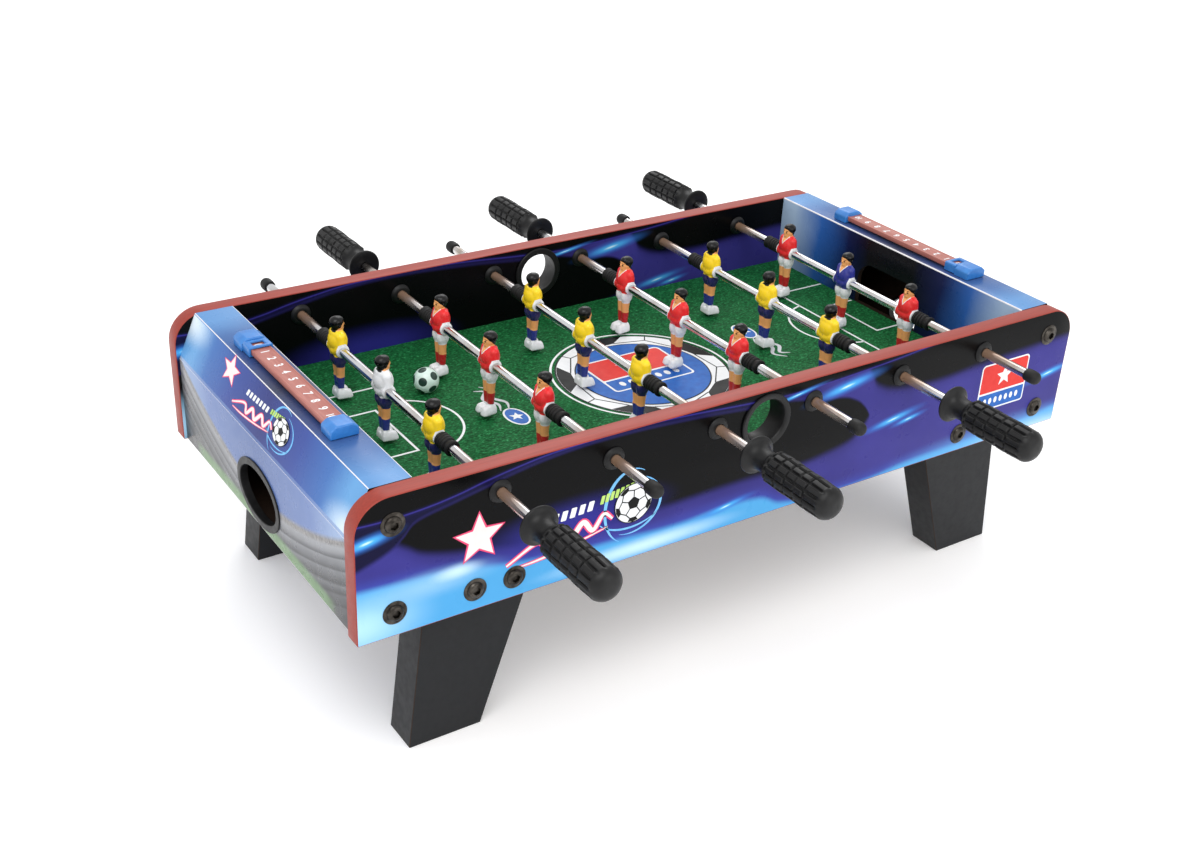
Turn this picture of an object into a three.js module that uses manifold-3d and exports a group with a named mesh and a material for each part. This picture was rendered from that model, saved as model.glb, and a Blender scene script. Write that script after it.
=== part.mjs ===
// A tabletop foosball table with six rods and eighteen men, in millimetres.
// +X runs along the table from the left goal to the right one, +Y from the front side board to the rear one,
// +Z up. The origin is on the floor under the middle of the table.
import * as THREE from "three";
import { mergeVertices } from "three/addons/utils/BufferGeometryUtils.js";
import Module from "manifold-3d";

const wasm = await Module();
wasm.setup();

// ---- Driving dimensions -------------------------------------------------------------------------------------

// Cabinet
const TABLE_LENGTH = 690;
const TABLE_WIDTH = 350; // over the outer faces of the side boards
const LEG_HEIGHT = 118; // floor to the side boards' lower edge
const BOARD_HEIGHT = 112;
const BOARD_THICKNESS = 15;
const BOARD_CORNER_RADIUS = 27; // the two top corners
const PANEL_THICKNESS = 5; // folded sheet of the end boxes
const PANEL_RECESS = 3; // how far the end box stays inside the side boards' ends
const LEDGE_WIDTH = 32.5; // flat top of an end box, which carries a scorer
const END_BOX_WIDTH = 48.5; // inner wall to lower outer face
const FOLD_DROP = 37; // board top to the fold where the sloping face turns vertical
const BATTEN_WIDTH = 24; // glued inside the end box, for the corner bolts
const BATTEN_THICKNESS = 14;
const BATTEN_RELIEF = 7; // planed off its outer side, to clear the sloping face
const PITCH_THICKNESS = 5;
const CLEARANCE = 0.3; // between pieces that touch
const RUNNING_CLEARANCE = 0.3; // between a rod and what it turns in

// Legs, measured from the side board's end
const LEG_TOP_OUTER = 58;
const LEG_TOP_WIDTH = 87;
const LEG_FOOT_OUTER = 45;
const LEG_FOOT_WIDTH = 60;
const LEG_THICKNESS = 31;

// Goals and ball path
const GOAL_WIDTH = 82;
const GOAL_HEIGHT = 42;
const GOAL_CORNER_RADIUS = 18;
const RETURN_HALF_WIDTH = 37.5; // the elliptical return hole in the outer face
const RETURN_HALF_HEIGHT = 23.5;
const RETURN_SILL = 5.5; // hole's lowest point above the side boards' lower edge
const RETURN_RIM = 3; // width of the plastic rim that lines it
const RIM_PROUD = 1;
const BALL_RADIUS = 11;
const PORT_DROP = 26; // board top to the centre of a ball port
const PORT_RADIUS = 18;
const PORT_WALL = 2.7;
const PORT_FLANGE = 5.5; // how far the flange reaches past the lined hole's edge
const PORT_PROUD = 2;

// Rods
const ROD_COUNT = 6;
const ROD_DIAMETER = 8;
const ROD_WALL = 1;
const ROD_DROP = 20; // board top to the rods' axes
const ROD_ABOVE_PITCH = 48;
const ROD_TO_END_WALL = 58.5;
const ROD_STROKE = 43; // slide each way from the middle
const REST_SLIDE = [3.5, 3, 8.5, 2.5, -3, -1]; // where each rod is left, along +Y
const BUSHING_RADIUS = 9;
const BUSHING_PROUD = 3;
const CAP_REACH = 60; // board face to the tip of the rubber cap, rod in the middle
const CAP_LENGTH = 13;
const CAP_RADIUS = 5.6;
const HANDLE_REACH = 53; // board face to the handle's flange, rod in the middle
const HANDLE_LENGTH = 87;
const HANDLE_SOCKET = 70; // how deep the rod goes in
const FLANGE_RADIUS = 15;
const NECK_RADIUS = 8.6;
const GRIP_RADIUS = 13;
const BUMPER_LENGTH = 18;
const BUMPER_RADIUS = 6.2;
const BUMPER_GAP = 0.5; // between a man and the bumper beside it
const BUMPER_STOP = 2.5; // left between bumper and bushing at the end of the stroke

// Men, measured from the rod's axis
const MAN_HALF_WIDTH = 10.5;
const HEAD_TOP = 27.6;
const HEAD_RADIUS = 6.8;
const SHOULDER_HEIGHT = 14.5;
const WAIST_DEPTH = 4;
const SHORTS_DEPTH = 17;
const FOOT_DEPTH = 44.5;
const FOOT_HEIGHT = 7;
const FOOT_HALF_WIDTH = 7.8;
const TOE_REACH = 10.5;
const HEEL_REACH = 5.5;
const HUB_RADIUS = 6.8;

// Scorers
const SCORER_SPAN = 180;
const SCORER_BLOCK_LENGTH = 17;
const SCORER_BLOCK_WIDTH = 22;
const SCORER_BLOCK_HEIGHT = 10;
const SCORER_RAIL_WIDTH = 16;
const SCORER_RAIL_HEIGHT = 4.5;
const SCORER_RAIL_LIFT = 2.5; // ledge to the rail's underside
const SLIDER_WALL = 1.6;
const SLIDER_LENGTH = 13;
const SLIDER_WINDOW = [10, 6]; // across the rail and along it

// Bolts, by their distance from the board's end and lower edge
const BOLT_RADIUS = 9.2;
const BOLT_PROUD = 3;
const CORNER_BOLT_IN = 28.5;
const CORNER_BOLT_HEIGHTS = [90, 19.4];
const LEG_BOLT_INS = [91, 123];
const LEG_BOLT_HEIGHT = 17;

// ---- Worked out from them -----------------------------------------------------------------------------------

const boardBottom = LEG_HEIGHT;
const boardTop = LEG_HEIGHT + BOARD_HEIGHT;
const halfLength = TABLE_LENGTH / 2;
const halfWidth = TABLE_WIDTH / 2;
const wellHalfWidth = halfWidth - BOARD_THICKNESS;
const boxOuter = halfLength - PANEL_RECESS;
const wellHalfLength = boxOuter - END_BOX_WIDTH;
const rodHeight = boardTop - ROD_DROP;
const pitchTop = rodHeight - ROD_ABOVE_PITCH;
const rodRadius = ROD_DIAMETER / 2;
const boreRadius = rodRadius + RUNNING_CLEARANCE;
const rodSpacing = (2 * (wellHalfLength - ROD_TO_END_WALL)) / (ROD_COUNT - 1);
const bumperStart = MAN_HALF_WIDTH + BUMPER_GAP;
const manSpacing =
  wellHalfWidth - BUSHING_PROUD - BUMPER_STOP - ROD_STROKE - BUMPER_LENGTH - bumperStart;
const ledgeMiddle = wellHalfLength + LEDGE_WIDTH / 2;
const ROUND_SIDES = 12; // sides of rods, bores, bumpers and handles

// ---- Materials ----------------------------------------------------------------------------------------------

const material = (color, roughness, metalness = 0) =>
  new THREE.MeshStandardMaterial({ color, roughness, metalness });
const printedBoard = material(0x2a2f7a, 0.3);
const printedPanel = material(0x5a86c8, 0.3);
const printedPitch = material(0x1f6b34, 0.85);
const wrappedBoard = material(0x1d1d1f, 0.6);
const chrome = material(0xc9cbce, 0.2, 1);
const blackPlastic = material(0x17171a, 0.45);
const blackRubber = material(0x141414, 0.8);
const bluePlastic = material(0x2f78c4, 0.35);
const railPlastic = material(0xa8655a, 0.5);
const yellowPlastic = material(0xf2c21a, 0.35);
const redPlastic = material(0xd0282a, 0.35);
const ballPlastic = material(0xbfe8d2, 0.35);

// ---- Solids -------------------------------------------------------------------------------------------------

function solidOf(geometry) {
  const bare = geometry.clone();
  bare.deleteAttribute("normal");
  bare.deleteAttribute("uv");
  const merged = mergeVertices(bare, 1e-4);
  const triVerts = new Uint32Array(merged.index.array);
  const vertProperties = merged.attributes.position.array;
  return new wasm.Manifold(new wasm.Mesh({ numProp: 3, vertProperties, triVerts }));
}

function geometryOf(body) {
  const { numProp, vertProperties, triVerts } = body.getMesh();
  const positions = new Float32Array((vertProperties.length / numProp) * 3);
  for (let i = 0; i * numProp < vertProperties.length; i++) {
    positions.set(vertProperties.subarray(i * numProp, i * numProp + 3), i * 3);
  }
  const geometry = new THREE.BufferGeometry();
  geometry.setAttribute("position", new THREE.BufferAttribute(positions, 3));
  geometry.setIndex(new THREE.BufferAttribute(new Uint32Array(triVerts), 1));
  return geometry;
}

const join = (first, ...rest) => rest.reduce((whole, piece) => whole.add(solidOf(piece)), solidOf(first));
const cut = (body, ...tools) => tools.reduce((left, tool) => left.subtract(solidOf(tool)), body);

function mesh(name, geometry, finish) {
  const made = new THREE.Mesh(geometry, finish);
  made.name = name;
  return made;
}

// A box from its lowest and highest corners.
function block([x0, y0, z0], [x1, y1, z1]) {
  const box = new THREE.BoxGeometry(x1 - x0, y1 - y0, z1 - z0);
  return box.translate((x0 + x1) / 2, (y0 + y1) / 2, (z0 + z1) / 2);
}

// A round bar along Y, centred on (x, y, z).
function barAlongY(radius, length, x, y, z, sides = ROUND_SIDES) {
  return new THREE.CylinderGeometry(radius, radius, length, sides).translate(x, y, z);
}

// A turned piece round the Y axis, from [radius, y] pairs that run counter-clockwise.
function turned(profile, sides = ROUND_SIDES) {
  return new THREE.LatheGeometry(profile.map(([r, y]) => new THREE.Vector2(r, y)), sides);
}

// A shape drawn in x and z, extruded along Y from y0 to y1.
function extrudeAlongY(shape, y0, y1, curveSegments = 8) {
  const prism = new THREE.ExtrudeGeometry(shape, { depth: y1 - y0, bevelEnabled: false, curveSegments });
  const [x, z, back] = [[1, 0, 0], [0, 0, 1], [0, -1, 0]].map((v) => new THREE.Vector3(...v));
  return prism.applyMatrix4(new THREE.Matrix4().makeBasis(x, z, back)).translate(0, y1, 0);
}

// A shape drawn in y and z, extruded along X from x0 to x1.
function extrudeAlongX(shape, x0, x1, curveSegments = 8) {
  const prism = new THREE.ExtrudeGeometry(shape, { depth: x1 - x0, bevelEnabled: false, curveSegments });
  const [y, z, out] = [[0, 1, 0], [0, 0, 1], [1, 0, 0]].map((v) => new THREE.Vector3(...v));
  return prism.applyMatrix4(new THREE.Matrix4().makeBasis(y, z, out)).translate(x0, 0, 0);
}

const polygon = (points) => new THREE.Shape(points.map(([a, b]) => new THREE.Vector2(a, b)));

function ellipse(a, b, halfA, halfB) {
  const shape = new THREE.Shape();
  shape.absellipse(a, b, halfA, halfB, 0, 2 * Math.PI);
  return shape;
}

// ---- Cabinet ------------------------------------------------------------------------------------------------

function boardOutline() {
  const r = BOARD_CORNER_RADIUS;
  const shape = new THREE.Shape();
  shape.moveTo(-halfLength, boardBottom);
  shape.lineTo(halfLength, boardBottom);
  shape.absarc(halfLength - r, boardTop - r, r, 0, Math.PI / 2);
  shape.absarc(-halfLength + r, boardTop - r, r, Math.PI / 2, Math.PI);
  return shape;
}

const rodPositions = Array.from({ length: ROD_COUNT }, (_, i) => (i - (ROD_COUNT - 1) / 2) * rodSpacing);

// Bolt heads on one side board, as [x, z].
function boltPlaces() {
  const corner = CORNER_BOLT_HEIGHTS.map((height) => [halfLength - CORNER_BOLT_IN, boardBottom + height]);
  const leg = LEG_BOLT_INS.map((inset) => [halfLength - inset, boardBottom + LEG_BOLT_HEIGHT]);
  return [...corner, ...leg].flatMap(([x, z]) => [[x, z], [-x, z]]);
}

// side is -1 for the front board and +1 for the rear one. Its bushings and bolt heads are one piece with it.
function sideBoard(side) {
  const inner = side * wellHalfWidth;
  const outer = side * halfWidth;
  const middle = (inner + outer) / 2;
  const slab = extrudeAlongY(boardOutline(), Math.min(inner, outer), Math.max(inner, outer));
  const bushings = rodPositions.map((x) =>
    barAlongY(BUSHING_RADIUS, BOARD_THICKNESS + 2 * BUSHING_PROUD, x, middle, rodHeight));
  const bolts = boltPlaces().map(([x, z]) =>
    barAlongY(BOLT_RADIUS, 2 * BOLT_PROUD, x, outer, z, 8));
  const bores = rodPositions.map((x) => barAlongY(boreRadius, 2 * BOARD_THICKNESS, x, middle, rodHeight));
  const portHole = PORT_RADIUS + PORT_WALL + CLEARANCE;
  const port = barAlongY(portHole, 2 * BOARD_THICKNESS, 0, middle, boardTop - PORT_DROP, 24);
  return geometryOf(cut(join(slab, ...bushings, ...bolts), ...bores, port));
}

// Lines a side board's ball port: an outside flange, the lined hole and a thin inside lip.
function ballPort(side) {
  const hole = PORT_RADIUS;
  const sleeve = PORT_RADIUS + PORT_WALL;
  const flange = PORT_RADIUS + PORT_FLANGE;
  const face = BOARD_THICKNESS + CLEARANCE;
  const lip = -CLEARANCE;
  const ring = turned([
    [hole, lip - PORT_PROUD], [flange, lip - PORT_PROUD], [flange, lip], [sleeve, lip],
    [sleeve, face], [flange, face], [flange, face + PORT_PROUD], [hole, face + PORT_PROUD],
    [hole, lip - PORT_PROUD],
  ], 24);
  if (side < 0) {
    ring.rotateZ(Math.PI);
  }
  return ring.translate(0, side * wellHalfWidth, boardTop - PORT_DROP);
}

function returnCentre() {
  return boardBottom + RETURN_SILL + RETURN_HALF_HEIGHT;
}

// The end box on the +X side: one folded sheet with glued battens for the corner bolts.
function endPanel() {
  const t = PANEL_THICKNESS;
  const end = wellHalfWidth - CLEARANCE;
  const ledgeOuter = wellHalfLength + LEDGE_WIDTH;
  const fold = boardTop - FOLD_DROP;
  const slope = (boxOuter - ledgeOuter) / FOLD_DROP;
  const outside = polygon([
    [wellHalfLength, boardBottom], [boxOuter, boardBottom], [boxOuter, fold],
    [ledgeOuter, boardTop], [wellHalfLength, boardTop],
  ]);
  outside.holes.push(polygon([
    [wellHalfLength + t, boardBottom + t], [wellHalfLength + t, boardTop - t],
    [ledgeOuter - t + slope * t, boardTop - t], [boxOuter - t, fold - t * slope],
    [boxOuter - t, boardBottom + t],
  ]));
  const sheet = extrudeAlongY(outside, -end, end);
  const battens = [-1, 1].map((side) => {
    const x = halfLength - CORNER_BOLT_IN;
    const [near, far] = [side * end, side * (end - BATTEN_THICKNESS)].sort((a, b) => a - b);
    return block(
      [x - BATTEN_WIDTH / 2, near, boardBottom + t / 2],
      [x + BATTEN_WIDTH / 2 - BATTEN_RELIEF, far, boardTop - t / 2],
    );
  });
  const mouth = new THREE.Shape();
  const r = GOAL_CORNER_RADIUS;
  mouth.moveTo(-GOAL_WIDTH / 2, pitchTop);
  mouth.lineTo(GOAL_WIDTH / 2, pitchTop);
  mouth.absarc(GOAL_WIDTH / 2 - r, pitchTop + GOAL_HEIGHT - r, r, 0, Math.PI / 2);
  mouth.absarc(-GOAL_WIDTH / 2 + r, pitchTop + GOAL_HEIGHT - r, r, Math.PI / 2, Math.PI);
  const goal = extrudeAlongX(mouth, wellHalfLength - t, wellHalfLength + 2 * t, 5);
  const hole = extrudeAlongX(
    ellipse(0, returnCentre(), RETURN_HALF_WIDTH, RETURN_HALF_HEIGHT), boxOuter - 2 * t, boxOuter + t);
  return cut(join(sheet, ...battens), goal, hole);
}

// The plastic rim in the +X return hole: a flange on the outer face and a lining through the sheet.
function returnRim() {
  const z = returnCentre();
  const flange = ellipse(0, z, RETURN_HALF_WIDTH + RETURN_RIM, RETURN_HALF_HEIGHT + RETURN_RIM);
  const lining = ellipse(0, z, RETURN_HALF_WIDTH - CLEARANCE, RETURN_HALF_HEIGHT - CLEARANCE);
  const hole = ellipse(0, z, RETURN_HALF_WIDTH - RETURN_RIM, RETURN_HALF_HEIGHT - RETURN_RIM);
  const face = boxOuter + CLEARANCE;
  const body = join(
    extrudeAlongX(flange, face, face + RIM_PROUD),
    extrudeAlongX(lining, boxOuter - PANEL_THICKNESS, face + RIM_PROUD / 2),
  );
  return cut(body, extrudeAlongX(hole, boxOuter - 2 * PANEL_THICKNESS, face + 2 * RIM_PROUD));
}

function pitchBoard() {
  const x = wellHalfLength - CLEARANCE;
  const y = wellHalfWidth - CLEARANCE;
  return block([-x, -y, pitchTop - PITCH_THICKNESS], [x, y, pitchTop]);
}

// A leg stands against a side board's inner face and reaches up to the pitch board.
function leg(endSide, side) {
  const topOuter = halfLength - LEG_TOP_OUTER;
  const footOuter = halfLength - LEG_FOOT_OUTER;
  const top = pitchTop - PITCH_THICKNESS - CLEARANCE;
  const outline = [
    [footOuter - LEG_FOOT_WIDTH, 0], [footOuter, 0], [topOuter, boardBottom], [topOuter, top],
    [topOuter - LEG_TOP_WIDTH, top], [topOuter - LEG_TOP_WIDTH, boardBottom],
  ].map(([x, z]) => [endSide * x, z]);
  const outer = side * (wellHalfWidth - CLEARANCE);
  const inner = side * (wellHalfWidth - CLEARANCE - LEG_THICKNESS);
  const shape = polygon(endSide > 0 ? outline : outline.reverse());
  return extrudeAlongY(shape, Math.min(outer, inner), Math.max(outer, inner));
}

// ---- Scorers ------------------------------------------------------------------------------------------------

const blockMiddle = (SCORER_SPAN - SCORER_BLOCK_LENGTH) / 2;
const railMiddle = boardTop + SCORER_RAIL_LIFT + SCORER_RAIL_HEIGHT / 2;

// The scorer's rail with its two end blocks, on the ledge at x.
function scoreRail(x) {
  const foot = boardTop + CLEARANCE;
  const blocks = [-blockMiddle, blockMiddle].map((y) => {
    const half = SCORER_BLOCK_WIDTH / 2;
    const shoulder = foot + SCORER_BLOCK_HEIGHT - 3;
    const crown = foot + SCORER_BLOCK_HEIGHT;
    const arch = polygon([
      [x - half, foot], [x + half, foot], [x + half, shoulder], [x + half - 5, crown],
      [x - half + 5, crown], [x - half, shoulder],
    ]);
    return extrudeAlongY(arch, y - SCORER_BLOCK_LENGTH / 2, y + SCORER_BLOCK_LENGTH / 2);
  });
  const half = SCORER_RAIL_WIDTH / 2;
  const rail = block(
    [x - half, -blockMiddle, railMiddle - SCORER_RAIL_HEIGHT / 2],
    [x + half, blockMiddle, railMiddle + SCORER_RAIL_HEIGHT / 2],
  );
  return geometryOf(join(rail, ...blocks));
}

// A sleeve round the rail with a window on top.
function scoreSlider(x, y) {
  const halfX = SCORER_RAIL_WIDTH / 2 + CLEARANCE;
  const halfZ = SCORER_RAIL_HEIGHT / 2 + CLEARANCE;
  const [front, back] = [y - SLIDER_LENGTH / 2, y + SLIDER_LENGTH / 2];
  const w = SLIDER_WALL;
  const sleeve = block([x - halfX - w, front, railMiddle - halfZ - w], [x + halfX + w, back, railMiddle + halfZ + w]);
  const inside = block([x - halfX, front - w, railMiddle - halfZ], [x + halfX, back + w, railMiddle + halfZ]);
  const [across, along] = SLIDER_WINDOW.map((size) => size / 2);
  const opening = block([x - across, y - along, railMiddle], [x + across, y + along, railMiddle + halfZ + 2 * w]);
  return geometryOf(cut(solidOf(sleeve), inside, opening));
}

// ---- Rods ---------------------------------------------------------------------------------------------------
// Each rod is drawn with its handle to the front, -Y, and its men facing +X, about its own middle and axis.

// The steel tube, open in the handle, with the rubber cap on its rear end.
function rodWithCap() {
  const front = -(halfWidth + HANDLE_REACH + HANDLE_SOCKET);
  const capTip = halfWidth + CAP_REACH;
  const capFoot = capTip - CAP_LENGTH;
  const bore = rodRadius - ROD_WALL;
  return turned([
    [0, capFoot], [bore, capFoot], [bore, front], [rodRadius, front], [rodRadius, capFoot],
    [CAP_RADIUS, capFoot], [CAP_RADIUS, capTip - 2], [CAP_RADIUS - 2, capTip], [0, capTip],
  ]);
}

function handle() {
  const flange = -(halfWidth + HANDLE_REACH);
  const at = (distance) => flange - distance;
  return turned([
    [0, at(HANDLE_LENGTH)], [GRIP_RADIUS * 0.72, at(HANDLE_LENGTH - 3)], [GRIP_RADIUS, at(HANDLE_LENGTH - 10)],
    [GRIP_RADIUS, at(28)], [NECK_RADIUS, at(22)], [NECK_RADIUS, at(9)], [FLANGE_RADIUS, at(3)],
    [FLANGE_RADIUS, at(0)], [boreRadius, at(0)], [boreRadius, at(HANDLE_SOCKET + CLEARANCE)],
    [0, at(HANDLE_SOCKET + CLEARANCE)],
  ]);
}

function bumper() {
  const [r, edge, ends] = [BUMPER_RADIUS, 0.8, BUMPER_LENGTH / 2];
  return turned([
    [boreRadius, -ends], [r - edge, -ends], [r, -ends + edge], [r, ends - edge], [r - edge, ends],
    [boreRadius, ends], [boreRadius, -ends],
  ]);
}

// An upright taper with six sides, its widest across Y and thinner across X.
function taper(bottomHalf, topHalf, z0, z1, thinness) {
  return new THREE.CylinderGeometry(topHalf, bottomHalf, z1 - z0, 6)
    .rotateX(Math.PI / 2)
    .scale(thinness, 1, 1)
    .translate(0, 0, (z0 + z1) / 2);
}

// A man faces +X, with the rod's axis through the bore at his waist.
function man() {
  const ankle = -FOOT_DEPTH + FOOT_HEIGHT;
  const head = new THREE.SphereGeometry(HEAD_RADIUS, 8, 6)
    .rotateX(Math.PI / 2)
    .translate(0, 0, HEAD_TOP - HEAD_RADIUS);
  const torso = taper(8.5, MAN_HALF_WIDTH - 0.5, -WAIST_DEPTH, SHOULDER_HEIGHT, 0.85);
  const shorts = taper(8.2, 8.8, -SHORTS_DEPTH, 0, 0.8);
  const legs = taper(6, 7, ankle - FOOT_HEIGHT / 2, -SHORTS_DEPTH + 1, 0.8);
  const feet = block([-HEEL_REACH, -FOOT_HALF_WIDTH, -FOOT_DEPTH], [TOE_REACH, FOOT_HALF_WIDTH, ankle]);
  const hub = barAlongY(HUB_RADIUS, 2 * MAN_HALF_WIDTH, 0, 0, 0);
  const bore = barAlongY(boreRadius, 4 * MAN_HALF_WIDTH, 0, 0, 0);
  return geometryOf(cut(join(torso, head, shorts, legs, feet, hub), bore));
}

const manGeometry = man();
const bumperGeometry = bumper();
const handleGeometry = handle();
const rodGeometry = rodWithCap();

// Odd rods have their handle to the front and yellow men; even rods are the same turned half round, with red men.
function rodAssembly(index) {
  const number = index + 1;
  const turnedRound = index % 2 === 1;
  const direction = turnedRound ? -1 : 1;
  const group = new THREE.Group();
  group.add(mesh(`rod_${number}`, rodGeometry, chrome));
  group.add(mesh(`handle_${number}`, handleGeometry, blackPlastic));
  for (const [place, side] of [["front", -1], ["middle", 0], ["rear", 1]]) {
    const player = mesh(`player_${number}_${place}`, manGeometry, turnedRound ? redPlastic : yellowPlastic);
    player.position.y = side * direction * manSpacing;
    group.add(player);
    if (side !== 0) {
      const stop = mesh(`bumper_${number}_${place}`, bumperGeometry, blackRubber);
      stop.position.y = side * direction * (manSpacing + bumperStart + BUMPER_LENGTH / 2);
      group.add(stop);
    }
  }
  group.rotation.z = turnedRound ? Math.PI : 0;
  group.position.set(rodPositions[index], REST_SLIDE[index], rodHeight);
  return group;
}

// ---- Ball ---------------------------------------------------------------------------------------------------

const BALL_FROM_ROD = 25; // the ball lies this far to the left of the second rod
const BALL_REAR = 65; // and this far behind the table's middle

function ball() {
  return new THREE.SphereGeometry(BALL_RADIUS, 12, 8)
    .rotateX(Math.PI / 2)
    .translate(rodPositions[1] - BALL_FROM_ROD, BALL_REAR, pitchTop + BALL_RADIUS + CLEARANCE / 3);
}

// ---- The table ----------------------------------------------------------------------------------------------

// The piece for the left end is the right one's half turn.
const halfTurn = (geometry) => geometry.clone().rotateZ(Math.PI);

const table = new THREE.Group();
for (const [place, side] of [["front", -1], ["rear", 1]]) {
  table.add(mesh(`side_board_${place}`, sideBoard(side), printedBoard));
  table.add(mesh(`ball_port_${place}`, ballPort(side), blackPlastic));
  table.add(mesh(`leg_${place}_left`, leg(-1, side), wrappedBoard));
  table.add(mesh(`leg_${place}_right`, leg(1, side), wrappedBoard));
}
const panelGeometry = geometryOf(endPanel());
const rimGeometry = geometryOf(returnRim());
table.add(mesh("end_panel_right", panelGeometry, printedPanel));
table.add(mesh("end_panel_left", halfTurn(panelGeometry), printedPanel));
table.add(mesh("return_rim_right", rimGeometry, blackPlastic));
table.add(mesh("return_rim_left", halfTurn(rimGeometry), blackPlastic));
table.add(mesh("pitch_board", pitchBoard(), printedPitch));

const sliderReach = blockMiddle - SCORER_BLOCK_LENGTH / 2 - CLEARANCE - SLIDER_LENGTH / 2;
table.add(mesh("score_rail_left", scoreRail(-ledgeMiddle), railPlastic));
table.add(mesh("score_rail_right", scoreRail(ledgeMiddle), railPlastic));
table.add(mesh("score_slider_left", scoreSlider(-ledgeMiddle, sliderReach), bluePlastic));
table.add(mesh("score_slider_right", scoreSlider(ledgeMiddle, -sliderReach), bluePlastic));

rodPositions.forEach((_, index) => table.add(rodAssembly(index)));
table.add(mesh("ball", ball(), ballPlastic));

export default table;
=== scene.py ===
"""The visible pieces of a tabletop foosball table with six rods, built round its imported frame."""
import functools
import math

import bmesh
import bpy
from mathutils import Matrix, Vector


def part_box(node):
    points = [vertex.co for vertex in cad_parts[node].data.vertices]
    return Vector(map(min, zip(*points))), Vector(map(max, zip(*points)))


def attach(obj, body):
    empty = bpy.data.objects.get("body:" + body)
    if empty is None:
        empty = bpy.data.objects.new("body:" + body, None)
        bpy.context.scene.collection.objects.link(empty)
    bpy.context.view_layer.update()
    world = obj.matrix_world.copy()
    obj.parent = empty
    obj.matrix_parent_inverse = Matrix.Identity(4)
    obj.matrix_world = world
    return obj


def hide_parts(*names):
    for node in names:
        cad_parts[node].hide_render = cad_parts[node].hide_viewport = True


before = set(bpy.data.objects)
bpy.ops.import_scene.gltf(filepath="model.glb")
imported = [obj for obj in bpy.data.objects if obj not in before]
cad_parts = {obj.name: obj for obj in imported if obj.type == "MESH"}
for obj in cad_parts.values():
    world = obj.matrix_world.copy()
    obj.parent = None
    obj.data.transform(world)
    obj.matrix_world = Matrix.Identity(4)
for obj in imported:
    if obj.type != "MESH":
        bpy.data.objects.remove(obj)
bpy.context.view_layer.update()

bl_info = {
    "name": "Tabletop foosball table",
    "version": (1, 0, 0),
    "blender": (4, 5, 0),
    "location": "3D View > Sidebar > Foosball",
    "description": "Builds the visible pieces of a six-rod tabletop foosball table round its frame",
    "category": "Object",
}

MM = 0.001  # meshes are drawn in millimetres and brought to metres when they become pieces

# ---- Places and sizes read from the frame, in millimetres ----------------------------------------------------


def span(node):
    """A node's lowest and highest corners at rest."""
    return [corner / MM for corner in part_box(node)]


def middle(node):
    low, high = span(node)
    return (low + high) / 2


FIT = 0.3  # the gap that the frame keeps between pieces that touch
BOLT_PROUD = 3.0
BUSHING_PROUD = 3.0
board_low, board_high = span("side_board_front")
HALF_LENGTH = board_high.x
BOARD_BOTTOM, BOARD_TOP = board_low.z, board_high.z
BOARD_HEIGHT = BOARD_TOP - BOARD_BOTTOM
OUTER_Y = -board_low.y - BOLT_PROUD
INNER_Y = -span("leg_front_left")[0].y + FIT
THICKNESS = OUTER_Y - INNER_Y
panel_low, panel_high = span("end_panel_right")
BOX_INNER, BOX_OUTER = panel_low.x, panel_high.x
PITCH_TOP = span("pitch_board")[1].z
ROD_Z = middle("rod_1").z
ROD_RADIUS = 4.0
BORE_RADIUS = ROD_RADIUS + FIT
PORT_HOLE_RADIUS, BUSHING_HOLE_RADIUS = 20.9, 7.2
RETURN_HALF_WIDTH, RETURN_HALF_HEIGHT = 37.5, 23.5
FOLD_Z = BOARD_TOP - 37  # where the end boxes' slope meets their outer wall
LEDGE_X = BOX_INNER + 32.5  # where the ledge meets the slope
SLIDER_WALL = 1.6
RAIL_HALF_LENGTH, RAIL_HALF_WIDTH = 74, 8
HANDLE_END = 87.0
RODS = range(1, 7)
PLACES = ("front", "middle", "rear")
ENDS = {"left": -1, "right": 1}
SIDES = {"front": -1, "rear": 1}


def rod_x(number):
    return middle(f"rod_{number}").x


def handle_side(number):
    """-1 where the rod's handle is at the front, +1 where it is at the rear."""
    return math.copysign(1, middle(f"handle_{number}").y)


# ---- Settings ------------------------------------------------------------------------------------------------


def colour(code):
    """A linear colour from its sRGB hex code."""
    parts = [int(code[i:i + 2], 16) / 255 for i in (1, 3, 5)]
    return tuple(c / 12.92 if c <= 0.04045 else ((c + 0.055) / 1.055) ** 2.4 for c in parts) + (1.0,)


def tint(name, description, code):
    """A colour property with its default given as a hex code."""
    return bpy.props.FloatVectorProperty(
        name=name, description=description, subtype="COLOR", size=4, min=0, max=1, default=colour(code))


def length(name, description, millimetres):
    """A length property with its default given in millimetres."""
    return bpy.props.FloatProperty(
        name=name, description=description, unit="LENGTH", min=0, default=millimetres * MM)


class CabinetSettings(bpy.types.PropertyGroup):
    """Sizes and colours of the boards, end boxes and legs."""

    corner_radius: length("Corner radius", "Round of the side boards' top corners", 27)
    edge_round: length("Edge round", "Small round on the boards' long edges", 0.7)
    band: tint("Edge band", "Colour of the side boards' edge band", "#923428")
    print_base: tint("Print base", "Violet ground of the side boards' print", "#37337f")
    leg_wrap: tint("Leg wrap", "Colour of the legs' wrapping film", "#17181a")


class PitchSettings(bpy.types.PropertyGroup):
    """Colours and line width of the playing field."""

    turf: tint("Turf", "Main green of the printed turf", "#1c723d")
    turf_dark: tint("Turf shade", "Green between the printed blades", "#083c1c")
    line_width: length("Line width", "Width of the field's lines", 2.0)


class RodSettings(bpy.types.PropertyGroup):
    """Shape of the grips and bumpers."""

    flutes: bpy.props.IntProperty(name="Flutes", description="Grooves along a grip", default=12, min=3)
    grooves: bpy.props.IntProperty(name="Grooves", description="Grooves round a grip", default=5, min=1)
    groove_depth: length("Groove depth", "Depth of a grip's grooves", 1.6)


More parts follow.
